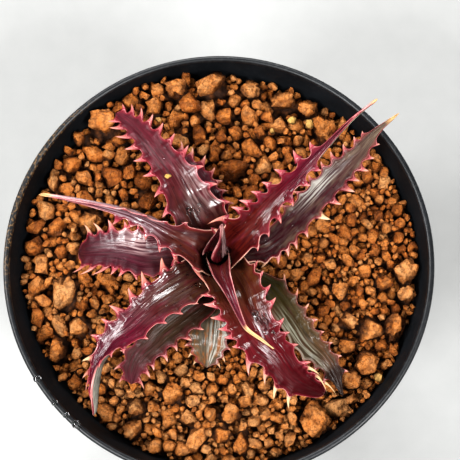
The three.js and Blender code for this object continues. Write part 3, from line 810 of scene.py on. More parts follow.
def tooth_points(name, blade):
    places, turns, sizes, picks, horns = [], [], [], [], []
    for side, tooth in [(side, tooth) for side in (+1, -1) for tooth in blade.teeth[side]]:
        share, length, lean, horn, factor = tooth_values(tooth)
        rise = np.interp(share, blade.share, blade.rise)
        half = np.interp(share, blade.share, blade.half * blade.round)
        swing = math.copysign(max(0, abs(lean) - MOST_LEAN), lean)
        lean -= swing
        angle = math.radians(lean * 0.25 + swing)
        x, y, z, forward = tooth_axes(blade, side, share, rise / max(half, 0.5), angle)
        width = min(WIDEST_TOOTH, 1.0 + 0.5 * length) * factor
        bend = forward * length * math.sin(math.radians(lean) * 0.9) / width
        more = blade.ruffle - 1
        out_by = half + 0.1 + more * 0.65 * BULGE
        up_by = rise - MARGIN_THICKNESS * 0.4 + more * 0.6 * WAVE * min(1, half / SLIM_HALF)
        out, face = blade.at(share, blade.side * side), blade.at(share, blade.face)
        places.append(blade.at(share, blade.center) + out * out_by + face * up_by)
        turns.append(tuple(Matrix((x, y, z)).transposed().to_euler()))
        sizes.append((length * math.cos(math.radians(lean) * 0.7), width, TOOTH_THICKNESS))
        picks.append(int(np.argmin([abs(bend - known) for known in HOOK_BENDS])))
        horns.append(horn)
    attributes = {
        "turn": ("FLOAT_VECTOR", turns),
        "size": ("FLOAT_VECTOR", np.array(sizes) * MM),
        "pick": ("INT", picks),
        "horn": ("FLOAT", horns),
    }
    return points_object(f"{name}_tooth_points", places, attributes)


# %% A node tree that grows hooks on points and joins them to a blade
def tree_with(name, **sockets):
    """A geometry tree with named inputs. Each has a type, and underscores stand for spaces."""
    tree = bpy.data.node_groups.new(name, "GeometryNodeTree")
    for label, kind in sockets.items():
        label = label.replace("_", " ")
        tree.interface.new_socket(label, in_out="INPUT", socket_type=f"NodeSocket{kind}")
    tree.interface.new_socket("Geometry", in_out="OUTPUT", socket_type="NodeSocketGeometry")
    return tree, add_node(tree, "NodeGroupInput").outputs


def named(tree, label, kind):
    node = add_node(tree, "GeometryNodeInputNamedAttribute", {"Name": label}, data_type=kind)
    return node.outputs["Attribute"]


def with_material(tree, geometry, material):
    return add_node(tree, "GeometryNodeSetMaterial", {"Geometry": geometry, "Material": material}).outputs[0]


def copies_on_points(tree, points, collection):
    """One copy of a collection's member on each point, turned, scaled and picked by attributes."""
    given = {"Collection": collection, "Separate Children": True, "Reset Children": True}
    members = add_node(tree, "GeometryNodeCollectionInfo", given)
    turn = add_node(tree, "FunctionNodeEulerToRotation", {0: named(tree, "turn", "FLOAT_VECTOR")})
    given = {
        "Points": points,
        "Instance": members.outputs[0],
        "Pick Instance": True,
        "Instance Index": named(tree, "pick", "INT"),
        "Rotation": turn.outputs[0],
        "Scale": named(tree, "size", "FLOAT_VECTOR"),
    }
    copies = add_node(tree, "GeometryNodeInstanceOnPoints", given)
    return add_node(tree, "GeometryNodeRealizeInstances", {0: copies.outputs[0]}).outputs[0]


def set_inputs(piece, tree, values):
    """Adds the tree as a modifier and sets its named inputs by their identifiers."""
    modifier = piece.modifiers.new(tree.name, "NODES")
    modifier.node_group = tree
    for item in tree.interface.items_tree:
        if item.item_type == "SOCKET" and item.in_out == "INPUT" and item.name in values:
            modifier[item.identifier] = values[item.name]


def toothed_leaf_tree():
    tree, given = tree_with(
        "toothed leaf",
        Blade="Geometry", Tooth_points="Object", Hooks="Collection", Blade_material="Material",
        Tooth_material="Material",
    )
    points = add_node(tree, "GeometryNodeObjectInfo", {"Object": given["Tooth points"]}).outputs["Geometry"]
    teeth = with_material(tree, copies_on_points(tree, points, given["Hooks"]), given["Tooth material"])
    blade = with_material(tree, given["Blade"], given["Blade material"])
    joined = add_node(tree, "GeometryNodeJoinGeometry")
    tree.links.new(blade, joined.inputs[0])
    tree.links.new(teeth, joined.inputs[0])
    add_node(tree, "NodeGroupOutput", {0: joined.outputs[0]})
    return tree


TOOTHED_LEAF = toothed_leaf_tree()

# %% [markdown]
# ## The finish of a leaf
#
# The skin of a dyckia is smooth and hard, so it shines like wax, but fine grooves run along
# it and break the shine into streaks. Its colour is deep crimson where the sun reaches it and
# olive near the base, the underside is paler with silvery scales, and a thin pale line runs
# along the margin. All of these follow the leaf and not the room, so the shader reads the
# values that were written on the blade's points: how far along, how far across, how far from
# the margin, how near a tooth, and whether the point is on the underside. Old leaves are
# duller. One half of some leaves carries a pale bloom in streaks: partly silvery scales that
# the other half has lost, and partly a painted highlight that stands for the leaf's shine.

# %% Leaf skin
DULLING = 0.22  # how much rougher a leaf is where nothing has polished it
FADE, HALF_FADE = 0.12, 0.15  # over what share a stretch fades along the leaf, and across it
SCALES, STAIN, FLUSH = (0.5, 0.48, 0.42), (0.26, 0.1, 0.035), (0.32, 0.022, 0.04)
SHEATH_EDGE = (0.86, 0.52, 0.4)  # the pale, papery edge of the sheath
PINK_BLOOM_AND_SHEEN, SILVER_BLOOM_AND_SHEEN = (0.66, 0.5, 0.48), (0.55, 0.54, 0.48)


def scaled(color, factor):
    return tuple(min(1, c * factor) for c in color)


def leaf_skin(
    name,
    base, middle, end,  # colours of the upper face: near the base, halfway and at the tip
    under=(0.3, 0.28, 0.2), silver=0.02,  # colour of the underside, and how much scale lies on top
    stripes=9, gloss=0.25, shine=0.3,  # grooves across the blade, roughness, and strength of the shine
    glare=(0, 0.0, 1.2), wax=0.0, film=0.18,  # polished stretch, and weight and roughness of its wax
    bloom_and_sheen=None, bloom_and_sheen_color=SILVER_BLOOM_AND_SHEEN,  # stretch with pale bloom, partly painted highlight, and its strength
    line=(0.8, 0.4, 0.36), rim=0.16, pale_end=1.0,  # line on the margin, its width, under 1 it widens
    blush=0.55, stain=0.0,  # strength of the red along the margins, and of brown stains
    spine=None, spine_color=(0.78, 0.46, 0.2),  # where the dry spine begins
):
    skin = Finish(name, Specular_IOR_Level=shine)
    share, edge, side = skin.value("share"), skin.value("edge"), skin.value("under")

    def marks(across_scale, way_scale, *detail):
        """Noise that is stretched along the leaf, for marks that run from base to tip."""
        across = skin.product(skin.value("across"), across_scale)
        way = skin.product(skin.value("way"), way_scale)
        place = skin.node("ShaderNodeCombineXYZ", {0: across, 1: way, 2: side}).outputs[0]
        return skin.noise(place, 1.0, *detail)

    def zone_of(half, start, stop):
        """1 on a stretch of the leaf, across its whole width or on one half, and 0 elsewhere."""
        zone = skin.product(skin.remap(share, start, start + FADE), skin.remap(share, stop, stop - FADE))
        if not half:
            return zone
        return skin.product(zone, skin.remap(skin.value("across"), -HALF_FADE * half, HALF_FADE * half))

    # The upper face: grooves, broad clouds, a dust of scales, bloom that is partly painted highlight, and
    # stains.
    grooves, fine = marks(stripes, 0.11, 2, 0.5), marks(45, 0.3, 2, 0.5)
    broad, dust = marks(1.7, 0.13, 2), marks(4, 0.2, 5, 0.7)
    color = skin.ramp(share, (0.12, base), (0.34, base), (0.56, middle), (0.95, end))
    color = skin.over(color, scaled(middle, 0.3), grooves, 0.42, 0.62, 0.65)
    color = skin.over(color, scaled(end, 1.7), broad, 0.5, 0.7, 0.45)
    color = skin.over(color, SCALES, dust, 0.42, 0.7, silver)
    # A pale bloom between the grooves on one stretch: silvery scales on some leaves, and a painted highlight in
    # streaks on the glossy ones.
    if bloom_and_sheen:
        *stretch, strength = bloom_and_sheen
        between_grooves = skin.remap(grooves, 0.55, 0.42, 0.0, strength)
        color = skin.mix(skin.product(zone_of(*stretch), between_grooves), color, bloom_and_sheen_color)
    if stain:
        color = skin.over(color, STAIN, dust, 0.5, 0.38, stain)

    # The underside, and the red along the margins of the upper face.
    striped = skin.over(scaled(under, 0.65), scaled(under, 2.15), fine, 0.43, 0.6)
    color = skin.mix(side, color, striped)
    flush = skin.calc("SUBTRACT", skin.remap(edge, 0.75, 0.12, 0.0, blush), side)
    color = skin.mix(flush, color, FLUSH)

    # The pale line, where the distance from the margin is small. On the sheath, at the teeth and,
    # on some leaves, towards the tip that distance counts for less, and the line is wider. It is
    # unbroken on the sheath and patchy elsewhere.
    sheath = skin.remap(share, 0.36, 0.2)
    from_margin = skin.product(edge, skin.remap(sheath, 0.0, 1.0, 1.0, 0.6))
    from_margin = skin.product(from_margin, skin.remap(share, 0.56, 0.7, 1.0, pale_end))
    near = skin.calc("MAXIMUM", skin.value("near_tooth"), sheath)
    from_margin = skin.product(from_margin, skin.remap(near, 0.0, 1.0, 1.9, 0.75))
    whole = skin.remap(from_margin, rim, rim * 0.4, 0.0, 0.95)
    patchy = skin.product(whole, skin.remap(dust, 0.38, 0.55, 0.3, 1.0))
    rubbed = skin.calc("MAXIMUM", patchy, skin.product(sheath, whole))
    fresh = (line[0] * 0.75, line[1] * 0.36, line[2] * 0.42)
    worn_line = skin.over(fresh, line, dust, 0.45, 0.62)
    color = skin.mix(rubbed, color, skin.mix(sheath, worn_line, SHEATH_EDGE))
    if spine:
        color = skin.over(color, spine_color, share, spine, spine + 0.04)

    # The shine, which the grooves break up, and the wax on the polished stretch.
    grooved = skin.remap(grooves, 0.3, 0.75, gloss - 0.07, gloss + 0.08)
    dulled = skin.calc("ADD", grooved, skin.remap(zone_of(*glare), 1.0, 0.0, 0.0, DULLING))
    skin.feed(Base_Color=color, Roughness=dulled)
    normal = skin.bump((broad, 0.3), (grooves, 0.22))
    if wax:
        skin.feed(Coat_Weight=skin.remap(zone_of(*glare), 0.0, 1.0, 0.0, wax), Coat_Normal=normal)
        skin.shader.inputs["Coat Roughness"].default_value = film
    return skin.material


# %% Tooth horn
DRY_HORN = (0.78, 0.55, 0.3)


def tooth_horn(name, foot, middle, point):
    """A tooth is the margin's flesh at its foot and dry horn at its point."""
    horn = Finish(name, Roughness=0.38)
    place = horn.place()
    ragged = horn.remap(horn.noise(place, 300), 0.3, 0.7, -0.12, 0.12)
    reach = horn.calc("ADD", horn.value("reach"), ragged)
    color = horn.ramp(reach, (0.0, foot), (0.35, middle), (0.75, point), (1.0, point))
    dry = horn.product(horn.value("horn"), horn.remap(reach, 0.0, 0.3))
    horn.feed(Base_Color=horn.mix(dry, color, DRY_HORN))
    horn.bump((horn.noise(place, 2200, 2), 0.01))
    return horn.material


CORAL = tooth_horn("tooth_coral", (0.2, 0.012, 0.026), (0.42, 0.06, 0.08), (0.6, 0.2, 0.17))
PEACH = tooth_horn("tooth_peach", (0.18, 0.03, 0.035), (0.42, 0.1, 0.095), (0.66, 0.3, 0.22))

# %% The skin of each leaf
# In glare and in bloom, which is partly painted highlight, the first number is the half of the leaf: 1 is left,
# -1 is right and 0 is both.
SKINS = {
    "leaf_spear": dict(
        base=(0.08, 0.003, 0.009), middle=(0.022, 0.002, 0.003), end=(0.1, 0.005, 0.014),
        under=(0.17, 0.11, 0.11), gloss=0.2, rim=0.34, line=(0.86, 0.58, 0.52),
    ),
    "leaf_south_narrow": dict(
        base=(0.07, 0.009, 0.007), middle=(0.1, 0.004, 0.016), end=(0.13, 0.014, 0.028), gloss=0.2,
        stripes=4, rim=0.5, line=(0.84, 0.5, 0.46), spine=0.76, spine_color=(0.85, 0.56, 0.27),
    ),
    "leaf_northeast_upper": dict(
        base=(0.085, 0.009, 0.006), middle=(0.085, 0.002, 0.012), end=(0.12, 0.02, 0.034), gloss=0.14,
        glare=(-1, 0.2, 0.85), shine=0.06, silver=0.0, bloom_and_sheen=(-1, 0.5, 0.85, 0.06), bloom_and_sheen_color=PINK_BLOOM_AND_SHEEN,
        spine=0.955, wax=1.0, film=0.16, pale_end=0.4, line=(0.88, 0.5, 0.46),
    ),
    "leaf_west_upper": dict(
        base=(0.075, 0.011, 0.006), middle=(0.09, 0.004, 0.016), end=(0.085, 0.01, 0.024), gloss=0.17,
        under=(0.2, 0.125, 0.135), silver=0.03, stripes=4.5, bloom_and_sheen=(0, 0.36, 1.2, 0.5),
        bloom_and_sheen_color=(0.44, 0.35, 0.38), rim=0.22, line=(0.85, 0.5, 0.46), spine=0.93, glare=(0, 0.28, 0.95),
        wax=0.65, pale_end=0.5,
    ),
    "leaf_southeast_broad": dict(
        base=(0.07, 0.017, 0.005), middle=(0.11, 0.0035, 0.009), end=(0.045, 0.002, 0.004), gloss=0.14,
        shine=0.1, glare=(0, 0.25, 0.72), blush=0.4, wax=0.6, line=(0.86, 0.46, 0.42),
    ),
    "leaf_northwest_broad": dict(
        base=(0.05, 0.009, 0.006), middle=(0.08, 0.006, 0.012), end=(0.1, 0.014, 0.024), silver=0.0,
        gloss=0.15, shine=0.22, glare=(0, 0.2, 0.56), bloom_and_sheen=(-1, 0.24, 0.56, 0.16), bloom_and_sheen_color=PINK_BLOOM_AND_SHEEN,
        wax=1.0, film=0.23, stripes=7, line=(0.86, 0.46, 0.42),
    ),
    "leaf_southwest_upper": dict(
        base=(0.045, 0.014, 0.006), middle=(0.085, 0.0028, 0.014), end=(0.078, 0.0024, 0.016),
        under=(0.13, 0.12, 0.1), blush=0.4, gloss=0.14, glare=(-1, 0.15, 0.85),
        bloom_and_sheen=(-1, 0.22, 0.72, 0.05), bloom_and_sheen_color=PINK_BLOOM_AND_SHEEN, shine=0.1, wax=1.0, stripes=10,
    ),
    "leaf_west_lower": dict(
        base=(0.06, 0.012, 0.014), middle=(0.075, 0.006, 0.018), end=(0.055, 0.006, 0.012), gloss=0.24,
        glare=(-1, 0.34, 0.8), bloom_and_sheen=(-1, 0.43, 0.72, 0.5), bloom_and_sheen_color=PINK_BLOOM_AND_SHEEN, wax=0.7, film=0.24,
        rim=0.12,
    ),
    "leaf_northeast_lower": dict(
        base=(0.035, 0.004, 0.007), middle=(0.065, 0.016, 0.021), end=(0.125, 0.09, 0.06), silver=0.06,
        gloss=0.24, shine=0.15, blush=0.4, bloom_and_sheen=(1, 0.4, 0.7, 0.58), spine=0.925,
    ),
    "leaf_southeast_lower": dict(
        base=(0.045, 0.036, 0.01), middle=(0.085, 0.055, 0.022), end=(0.07, 0.02, 0.014), silver=0.05,
        gloss=0.25, shine=0.16, rim=0.1, line=(0.6, 0.36, 0.3), blush=0.2, stripes=6,
        bloom_and_sheen=(-1, 0.4, 0.86, 0.5), bloom_and_sheen_color=(0.52, 0.53, 0.43), spine=0.81,
        spine_color=(0.022, 0.011, 0.008),
    ),
    "leaf_southwest_lower": dict(
        base=(0.03, 0.011, 0.006), middle=(0.06, 0.032, 0.018), end=(0.085, 0.016, 0.026), silver=0.04,
        gloss=0.3, shine=0.12, blush=0.35, rim=0.12, line=(0.66, 0.38, 0.38),
    ),
    "leaf_north_old": dict(
        base=(0.035, 0.008, 0.01), middle=(0.06, 0.01, 0.018), end=(0.08, 0.02, 0.028),
    ),
    "leaf_south_old": dict(
        base=(0.05, 0.034, 0.018), middle=(0.085, 0.06, 0.034), end=(0.1, 0.065, 0.036), silver=0.1,
        gloss=0.26, bloom_and_sheen=(1, 0.4, 1.2, 0.6), line=(0.2, 0.13, 0.09), stain=0.95,
    ),
}

# %% Grow every leaf
SLOTS = {node["node"]: node["material_slot"] for node in frame["record"]["subparts"]}
BLADES, leaf_pieces = {}, {}
for name, leaf in LEAVES.items():
    blade = BLADES[name] = Blade(leaf)
    piece = leaf_pieces[name] = blade_object(f"{name}_grown", blade)
    skin = leaf_skin(f"{name}_skin", **SKINS[name])
    if blade.teeth[+1]:
        growth = {
            "Tooth points": tooth_points(name, blade),
            "Hooks": HOOKS,
            "Blade material": skin,
            "Tooth material": PEACH if SLOTS[name] == "leaf_old" else CORAL,
        }
        set_inputs(piece, TOOTHED_LEAF, growth)
        bake_modifiers(piece)
    else:
        piece.data.materials.append(skin)
    piece.data.shade_smooth()
    print(f"{name}: {blade.length:.0f} mm long, {len(piece.data.polygons)} faces")

# %% [markdown]
# ## The granules
#
# The pot is filled with fired clay that has been crushed and sieved: rounded, pitted stones
# from two to nine millimetres. A surface with a bumpy texture would look flat from the side,
# so every stone that can be seen is real. The filling has three layers. A core of packed grit
# holds the shape of the heap, and its dark colour is painted shade for the deep gaps between
# the stones. Loose stones are dropped on it until the pot is full, and the largest stones,
# which lie on top, are modelled one by one.

# %% The shape of the heap: higher along the north wall, washed out in the south-west
SOIL_LEVEL = 84.5
EDGE_LEVELS = ((112, 3.0), (42, -2.0), (318, -4.0), (270, -1.5), (226, -7.5))  # bearing, rise at the wall
EDGE_SPREAD = 26  # degrees to either side over which such a rise fades
STEM_RADIUS, STEM_BOTTOM = 7.5, 64.0
CORE_DEPTH = 4.4  # the loose layer on top of the core
CORE_SEGMENTS, CORE_GAP, CORE_PITCH = 180, 0.15, 0.8  # around, to the wall, and from ring to ring
CORE_LUMPS = 0.8


def soil_height(x, y):
    bearing = np.degrees(np.arctan2(y, x))

    def near(middle):
        return np.exp(-((((bearing - middle + 180) % 360) - 180) / EDGE_SPREAD) ** 2)

    rise = sum(level * near(middle) for middle, level in EDGE_LEVELS)
    ripple = 0.4 * np.sin(0.31 * x + 1.3) * np.cos(0.27 * y - 0.6)
    return SOIL_LEVEL + smoothstep(np.hypot(x, y), 28, 50) * rise + ripple


def build_core(material):
    """Packed grit: a turned solid with an uneven top and a pocket for the rootstock."""
    pocket = STEM_RADIUS + 0.5
    turn = np.linspace(0, 2 * math.pi, CORE_SEGMENTS, endpoint=False)

    def level_ring(radius, z):
        return [(radius * math.cos(t), radius * math.sin(t), z) for t in turn]

    rows = [level_ring(r, FLOOR + 0.05) for r in (AXIS, 12, 24, inner_radius(3) - 0.4)]
    rows += [level_ring(inner_radius(z) - CORE_GAP, z) for z in (4.0, 20.0, 40.0, 60.0, 72.0)]
    for r in np.r_[np.arange(48.6, pocket, -CORE_PITCH), pocket]:
        x, y = r * np.cos(turn), r * np.sin(turn)
        z = soil_height(x, y) - CORE_DEPTH
        z = z + CORE_LUMPS * lumps(np.stack([x, y, z], axis=1), 0.45, 3)
        shrink = np.minimum(1, (inner_radius(z) - CORE_GAP) / np.maximum(np.hypot(x, y), AXIS))
        rows.append(list(zip(x * shrink, y * shrink, z)))
    rows += [level_ring(r, STEM_BOTTOM - 0.4) for r in (pocket, AXIS)]
    points = [point for row in rows for point in row]
    core = mesh_object("grit_core", points, ring_faces(len(rows), CORE_SEGMENTS), [material])
    tidy_mesh(core)
    core.data.shade_smooth()
    return core


# %% A handful of stones to copy
STONE_SHAPES, STONE_BREAKS = 12, 8  # shapes, and flat sides broken off each of them
BREAK_DEPTHS = (0.29, 0.43)  # how far from the middle a side breaks off
NEAR_BREAK = 0.3  # the cosine of the widest angle at which a point can lie on that side


def stone_mesh(subdivisions, seed, pitted):
    """A lumpy ball of unit diameter with a few flat, broken sides."""
    work = bmesh.new()
    bmesh.ops.create_icosphere(work, subdivisions=subdivisions, radius=0.5)
    points = np.array([v.co[:] for v in work.verts])
    faces = [[v.index for v in face.verts] for face in work.faces]
    work.free()
    unit = points / np.linalg.norm(points, axis=1)[:, None]
    draw = np.random.default_rng(seed)
    radius = 0.5 * (1 + 0.55 * lumps(unit, 1.1, seed) + 0.38 * lumps(unit, 2.4, seed + 40))
    for _ in range(STONE_BREAKS):
        normal = draw.normal(size=3)
        normal /= np.linalg.norm(normal)
        reach = unit @ normal
        flat = draw.uniform(*BREAK_DEPTHS) / np.maximum(reach, NEAR_BREAK)
        radius = np.where(reach > NEAR_BREAK, np.minimum(radius, flat), radius)
    if pitted:
        radius = radius * (1 + 0.09 * lumps(unit, 4.5, seed + 80) + 0.045 * lumps(unit, 12.0, seed + 120))
    points = unit * radius[:, None]
    low, high = points.min(axis=0), points.max(axis=0)
    return (points - low) / (high - low) - 0.5, faces


STONES = bpy.data.collections.new("stones")
for seed in range(STONE_SHAPES):
    shape_to_copy(f"stone_{seed:02d}", *stone_mesh(2, seed, False), STONES)

# %% [markdown]
# ## Dropping stones into the pot
#
# A rigid-body simulation of two thousand stones takes minutes. A height map does the same for
# stones that only have to lie still. Each stone tries a few places, rests where the map lets
# it sink lowest, and then raises the map by its own shape. A second map holds the undersides
# of the leaves as a roof, so that no stone grows through a leaf, and a stone that would rise
# over the heap is thrown away.

# %% The largest stones: x, y, length, width, and the angle of the length
LARGE_GRANULES = (
    (-29.3, 35.8, 7.3, 6.8, 20), (-35.4, 32.2, 3.9, 3.7, 60), (-11.0, 44.5, 5.9, 5.1, 0),
    (-1.9, 46.1, 7.9, 6.6, 10), (7.9, 45.1, 5.4, 5.2, 90), (16.3, 41.8, 6.4, 5.7, 150),
    (22.7, 40.2, 5.4, 4.9, 0), (26.9, 34.6, 7.4, 5.7, 110), (-32.0, 10.7, 6.8, 6.0, 40),
    (-38.4, -7.2, 8.6, 6.2, 80), (-34.3, -15.1, 5.2, 4.8, 0), (-39.9, -20.7, 6.7, 4.3, 80),
    (-11.2, -31.8, 5.6, 5.2, 30), (-20.4, -34.9, 4.7, 4.3, 0), (-21.2, -40.2, 5.7, 4.7, 70),
    (0.9, -41.7, 4.2, 4.0, 0), (2.8, -36.8, 5.1, 4.7, 40), (5.5, -43.8, 5.6, 3.7, 80),
    (23.3, -37.9, 8.9, 7.5, 110), (32.2, -28.5, 5.2, 4.7, 20), (36.2, -24.2, 6.6, 5.7, 60),
    (31.9, -14.2, 4.7, 4.5, 0), (37.0, -16.0, 6.2, 5.4, 20), (43.2, -15.8, 7.6, 5.2, 80),
    (46.4, -2.1, 6.2, 5.7, 30), (46.2, -7.8, 4.8, 4.5, 0), (40.6, -4.6, 4.3, 4.0, 20),
    (29.8, -6.6, 4.7, 4.3, 50), (31.3, -20.4, 4.3, 3.8, 0),
)
STONE_FLATNESS, STONE_LIFT = 0.8, 0.2  # height for a width of one, and how far it lies over the soil

# %% Pale, freshly broken chips that lie on top: x, y and width
PALE_CHIPS = (
    (18.6, 36.9, 2.1), (13.4, 34.0, 1.3), (23.0, 35.9, 2.3), (39.1, -27.9, 2.2), (-15.3, 36.7, 1.5),
    (-7.1, 29.3, 1.6),
)


# %% Where the stones are coarse, and where light and shade are painted on them
def stone_growth(x, y):
    """Coarse stones lie in the north and west of the pot, and small ones in the south and east."""
    return 0.84 + 0.48 * np.clip((y - 0.6 * x + 10) / 60, 0, 1)


def painted_light_by_place(x, y):
    """Painted light and shade by place: lighter along the south wall against the wall's shadow, a little
    lighter along the north wall, darker in the east against the bright south-east light, and darkest behind the
    heart, as painted shade under the leaves.
    """
    shade_behind_heart = np.exp(-(((x + 3) / 21) ** 2) - ((y - 21) / 11) ** 2)
    light_by_side = 0.29 * smoothstep(-y, 18, 36) + 0.08 * smoothstep(y, 8, 30) - 0.1 * smoothstep(x, 5, 35)
    return 0.1 + light_by_side - 0.42 * shade_behind_heart


def turned(x, y, angle):
    """A place in the plane, turned by an angle in degrees."""
    turn = math.radians(angle)
    return x * math.cos(turn) - y * math.sin(turn), x * math.sin(turn) + y * math.cos(turn)


# %% The height map
CELL, MAP_REACH = 0.3, 51.0
OPEN_SKY = 200.0  # the roof where no leaf hangs
STEM_ROOM, WALL_ROOM = 0.6, 3  # no stone's middle lies nearer to the stem, or to the rim
ROOF_CELLS = 2  # a leaf's point covers this many cells to each side
CLEARANCE = 0.1  # between a stone and the wall or a leaf
TRIES = 8  # of the places that a stone looks at, how many it tries
PATIENCE = 60  # so many stones in a row that don't fit say that the heap is full


class Heap:
    """The filling of the pot as a map of heights, with a roof of leaves above it."""

    def __init__(self):
        axis = np.arange(-MAP_REACH, MAP_REACH + CELL / 2, CELL)
        self.x, self.y = np.meshgrid(axis, axis, indexing="ij")
        self.target = soil_height(self.x, self.y)
        self.top = self.target - CORE_DEPTH
        self.roof = np.full_like(self.top, OPEN_SKY)
        self.roof[np.hypot(self.x, self.y) < STEM_RADIUS + STEM_ROOM] = 0.0

    def window(self, x, y, radius):
        """The part of the map around a place."""
        low = [max(0, int((v - radius + MAP_REACH) / CELL)) for v in (x, y)]
        high = [min(len(self.x), int((v + radius + MAP_REACH) / CELL) + 2) for v in (x, y)]
        return slice(low[0], high[0]), slice(low[1], high[1])

    def add_roof(self, points):
        last = len(self.x) - 1 - ROOF_CELLS
        i, j = (
            np.clip(((points[:, k] + MAP_REACH) / CELL + 0.5).astype(int), ROOF_CELLS, last) for k in (0, 1)
        )
        around = range(-ROOF_CELLS, ROOF_CELLS + 1)
        for di, dj in ((di, dj) for di in around for dj in around):
            np.minimum.at(self.roof, (i + di, j + dj), points[:, 2])

    def add_large(self, x, y, length, width, angle):
        height = STONE_FLATNESS * width
        z = float(soil_height(x, y)) + STONE_LIFT * height
        place = self.window(x, y, length / 2)
        along, across = turned(self.x[place] - x, self.y[place] - y, -angle)
        inside = 1 - (along / (length / 2)) ** 2 - (across / (width / 2)) ** 2
        self.raise_to(place, np.where(inside > 0, z + height / 2 * np.sqrt(np.maximum(inside, 0)), 0))

    def raise_to(self, place, dome):
        self.top[place] = np.maximum(self.top[place], dome)

    def ball(self, x, y, radius):
        """The window around a ball, its half height in each cell, and which cells lie under it."""
        place = self.window(x, y, radius)
        away = (self.x[place] - x) ** 2 + (self.y[place] - y) ** 2
        return place, np.sqrt(np.maximum(radius**2 - away, 0)), away < radius**2

    def rest(self, x, y, radius):
        """The height at which a ball's middle comes to rest, or nothing where it doesn't fit."""
        place, dome, under = self.ball(x, y, radius)
        z = float(np.max(np.where(under, self.top[place] + dome, 0)))
        fits_wall = math.hypot(x, y) + radius < inner_radius(min(z, POT_HEIGHT)) - CLEARANCE
        fits_roof = float(np.min(np.where(under, self.roof[place] - z - dome, 1))) > CLEARANCE
        return z if fits_wall and fits_roof else None

    def drop(self, x, y, z, radius):
        place, dome, under = self.ball(x, y, radius)
        self.raise_to(place, np.where(under, z + dome, 0))

    def lay(self, spots):
        """Rests a stone on the heap at each given place. Each spot is x, y and a width."""
        stones = []
        for x, y, width in spots:
            z = self.rest(x, y, width / 2)
            if z is not None:
                stones.append((x, y, z, width / 2))
                self.drop(*stones[-1])
        return stones

    def best_place(self, spots, size):
        """The place where a stone rises least over the heap: how far it rises, x, y, z and radius."""
        best = None
        hollow = (self.target - self.top).ravel()[spots]
        for spot in spots[np.argsort(-hollow)[:TRIES]]:
            x, y = float(self.x.flat[spot]), float(self.y.flat[spot])
            radius = size * float(stone_growth(x, y))
            z = self.rest(x, y, radius)
            if z is not None:
                over = z + radius - float(self.target.flat[spot])
                if best is None or over < best[0]:
                    best = (over, x, y, z, radius)
        return best

    def fill(self, draw, middle, spread, smallest, largest, looks, proud):
        """Drops stones where the heap is lowest, until too many in a row would rise over it.

        Widths are drawn around the middle one, within their limits. Looks is how many places a
        stone compares, and proud how far it may rise over the heap.
        """
        inside = np.flatnonzero(np.hypot(self.x, self.y) < RIM_RADIUS - WALL_ROOM)
        stones, misses = [], 0
        while misses < PATIENCE:
            width = np.clip(draw.lognormal(math.log(middle), spread), smallest, largest)
            best = self.best_place(draw.choice(inside, looks), float(width) / 2)
            if best is None or best[0] > proud:
                misses += 1
                continue
            misses = 0
            self.drop(*best[1:])
            stones.append(best[1:])
        return stones


# %% Fill the pot
HEAP_SEED = 20
draw = np.random.default_rng(HEAP_SEED)
heap = Heap()
for piece in leaf_pieces.values():
    heap.add_roof(np.array([v.co[:] for v in piece.data.vertices]) / MM)
for granule in LARGE_GRANULES:
    heap.add_large(*granule)
coarse = heap.fill(draw, 4.0, 0.28, 2.5, 6.4, looks=30, proud=1.2)
fine = heap.fill(draw, 1.9, 0.25, 1.2, 2.8, looks=150, proud=0.2)
chips = heap.lay(PALE_CHIPS)
print("coarse stones:", len(coarse), "fine stones:", len(fine), "pale chips:", len(chips))

# %% Fired clay: each stone has its own tint, all are pitted and dusty, and light is painted on their tops and shade at their feet and in their pits
CLAY = (
    (0.0, (0.2, 0.055, 0.008)), (0.25, (0.4, 0.118, 0.02)), (0.5, (0.58, 0.2, 0.042)),
    (0.75, (0.61, 0.245, 0.072)), (1.0, (0.62, 0.295, 0.11)),
)  # from dark to light: damp to dry clay, and painted shade to painted light
PIT_SHADE_COLOR, SPECK_COLOR, BROKEN_COLOR = (0.07, 0.024, 0.009), (0.66, 0.4, 0.24), (0.7, 0.44, 0.13)
SUNK_COLOR = (0.04, 0.011, 0.002)  # the shaded foot of a stone between its neighbours
CHIP_TINT = 1.15  # a tint over 1 is freshly broken clay


def fired_clay():
    clay = Finish("fired_clay", Specular_IOR_Level=0.2)
    place, tint, lift = clay.place(), clay.value("tint"), clay.value("lift")
    patch, crumbs = clay.noise(place, 420, 4, 0.6), clay.noise(place, 1000, 3, 0.6)
    knobs = clay.node("ShaderNodeTexVoronoi", {"Vector": place, "Scale": 850}).outputs["Distance"]
    pits, specks = clay.noise(place, 2300, 4, 0.7), clay.noise(place, 3400, 2)
    shade = clay.calc("ADD", tint, clay.remap(patch, 0.3, 0.7, -0.25, 0.25))
    # Painted light: the top of each stone is lighter and its lower sides darker.
    shade = clay.calc("ADD", shade, clay.remap(lift, 0.1, 1.0, -0.1, 0.14))
    color = clay.ramp(shade, *CLAY)
    # Painted shade in the hollows: darker in the pits and between the knobs, where the bump sinks.
    color = clay.over(color, PIT_SHADE_COLOR, pits, 0.46, 0.36, 0.5)
    color = clay.over(color, PIT_SHADE_COLOR, knobs, 0.5, 0.8, 0.5)
    color = clay.over(color, SPECK_COLOR, specks, 0.64, 0.74, 0.4)
    color = clay.over(color, BROKEN_COLOR, tint, 1.0, CHIP_TINT)
    # Painted shade: each stone darkens nearly to black towards its foot, among its neighbours.
    sunk = clay.calc("ADD", lift, clay.remap(crumbs, 0.3, 0.7, -0.2, 0.2))
    color = clay.over(color, SUNK_COLOR, sunk, 0.68, 0.0, 0.94)
    clay.feed(Base_Color=color, Roughness=clay.remap(patch, 0.3, 0.7, 0.42, 0.7))
    clay.bump((patch, 1.0), (knobs, -0.5), (crumbs, 0.8), (pits, 0.4))
    return clay.material


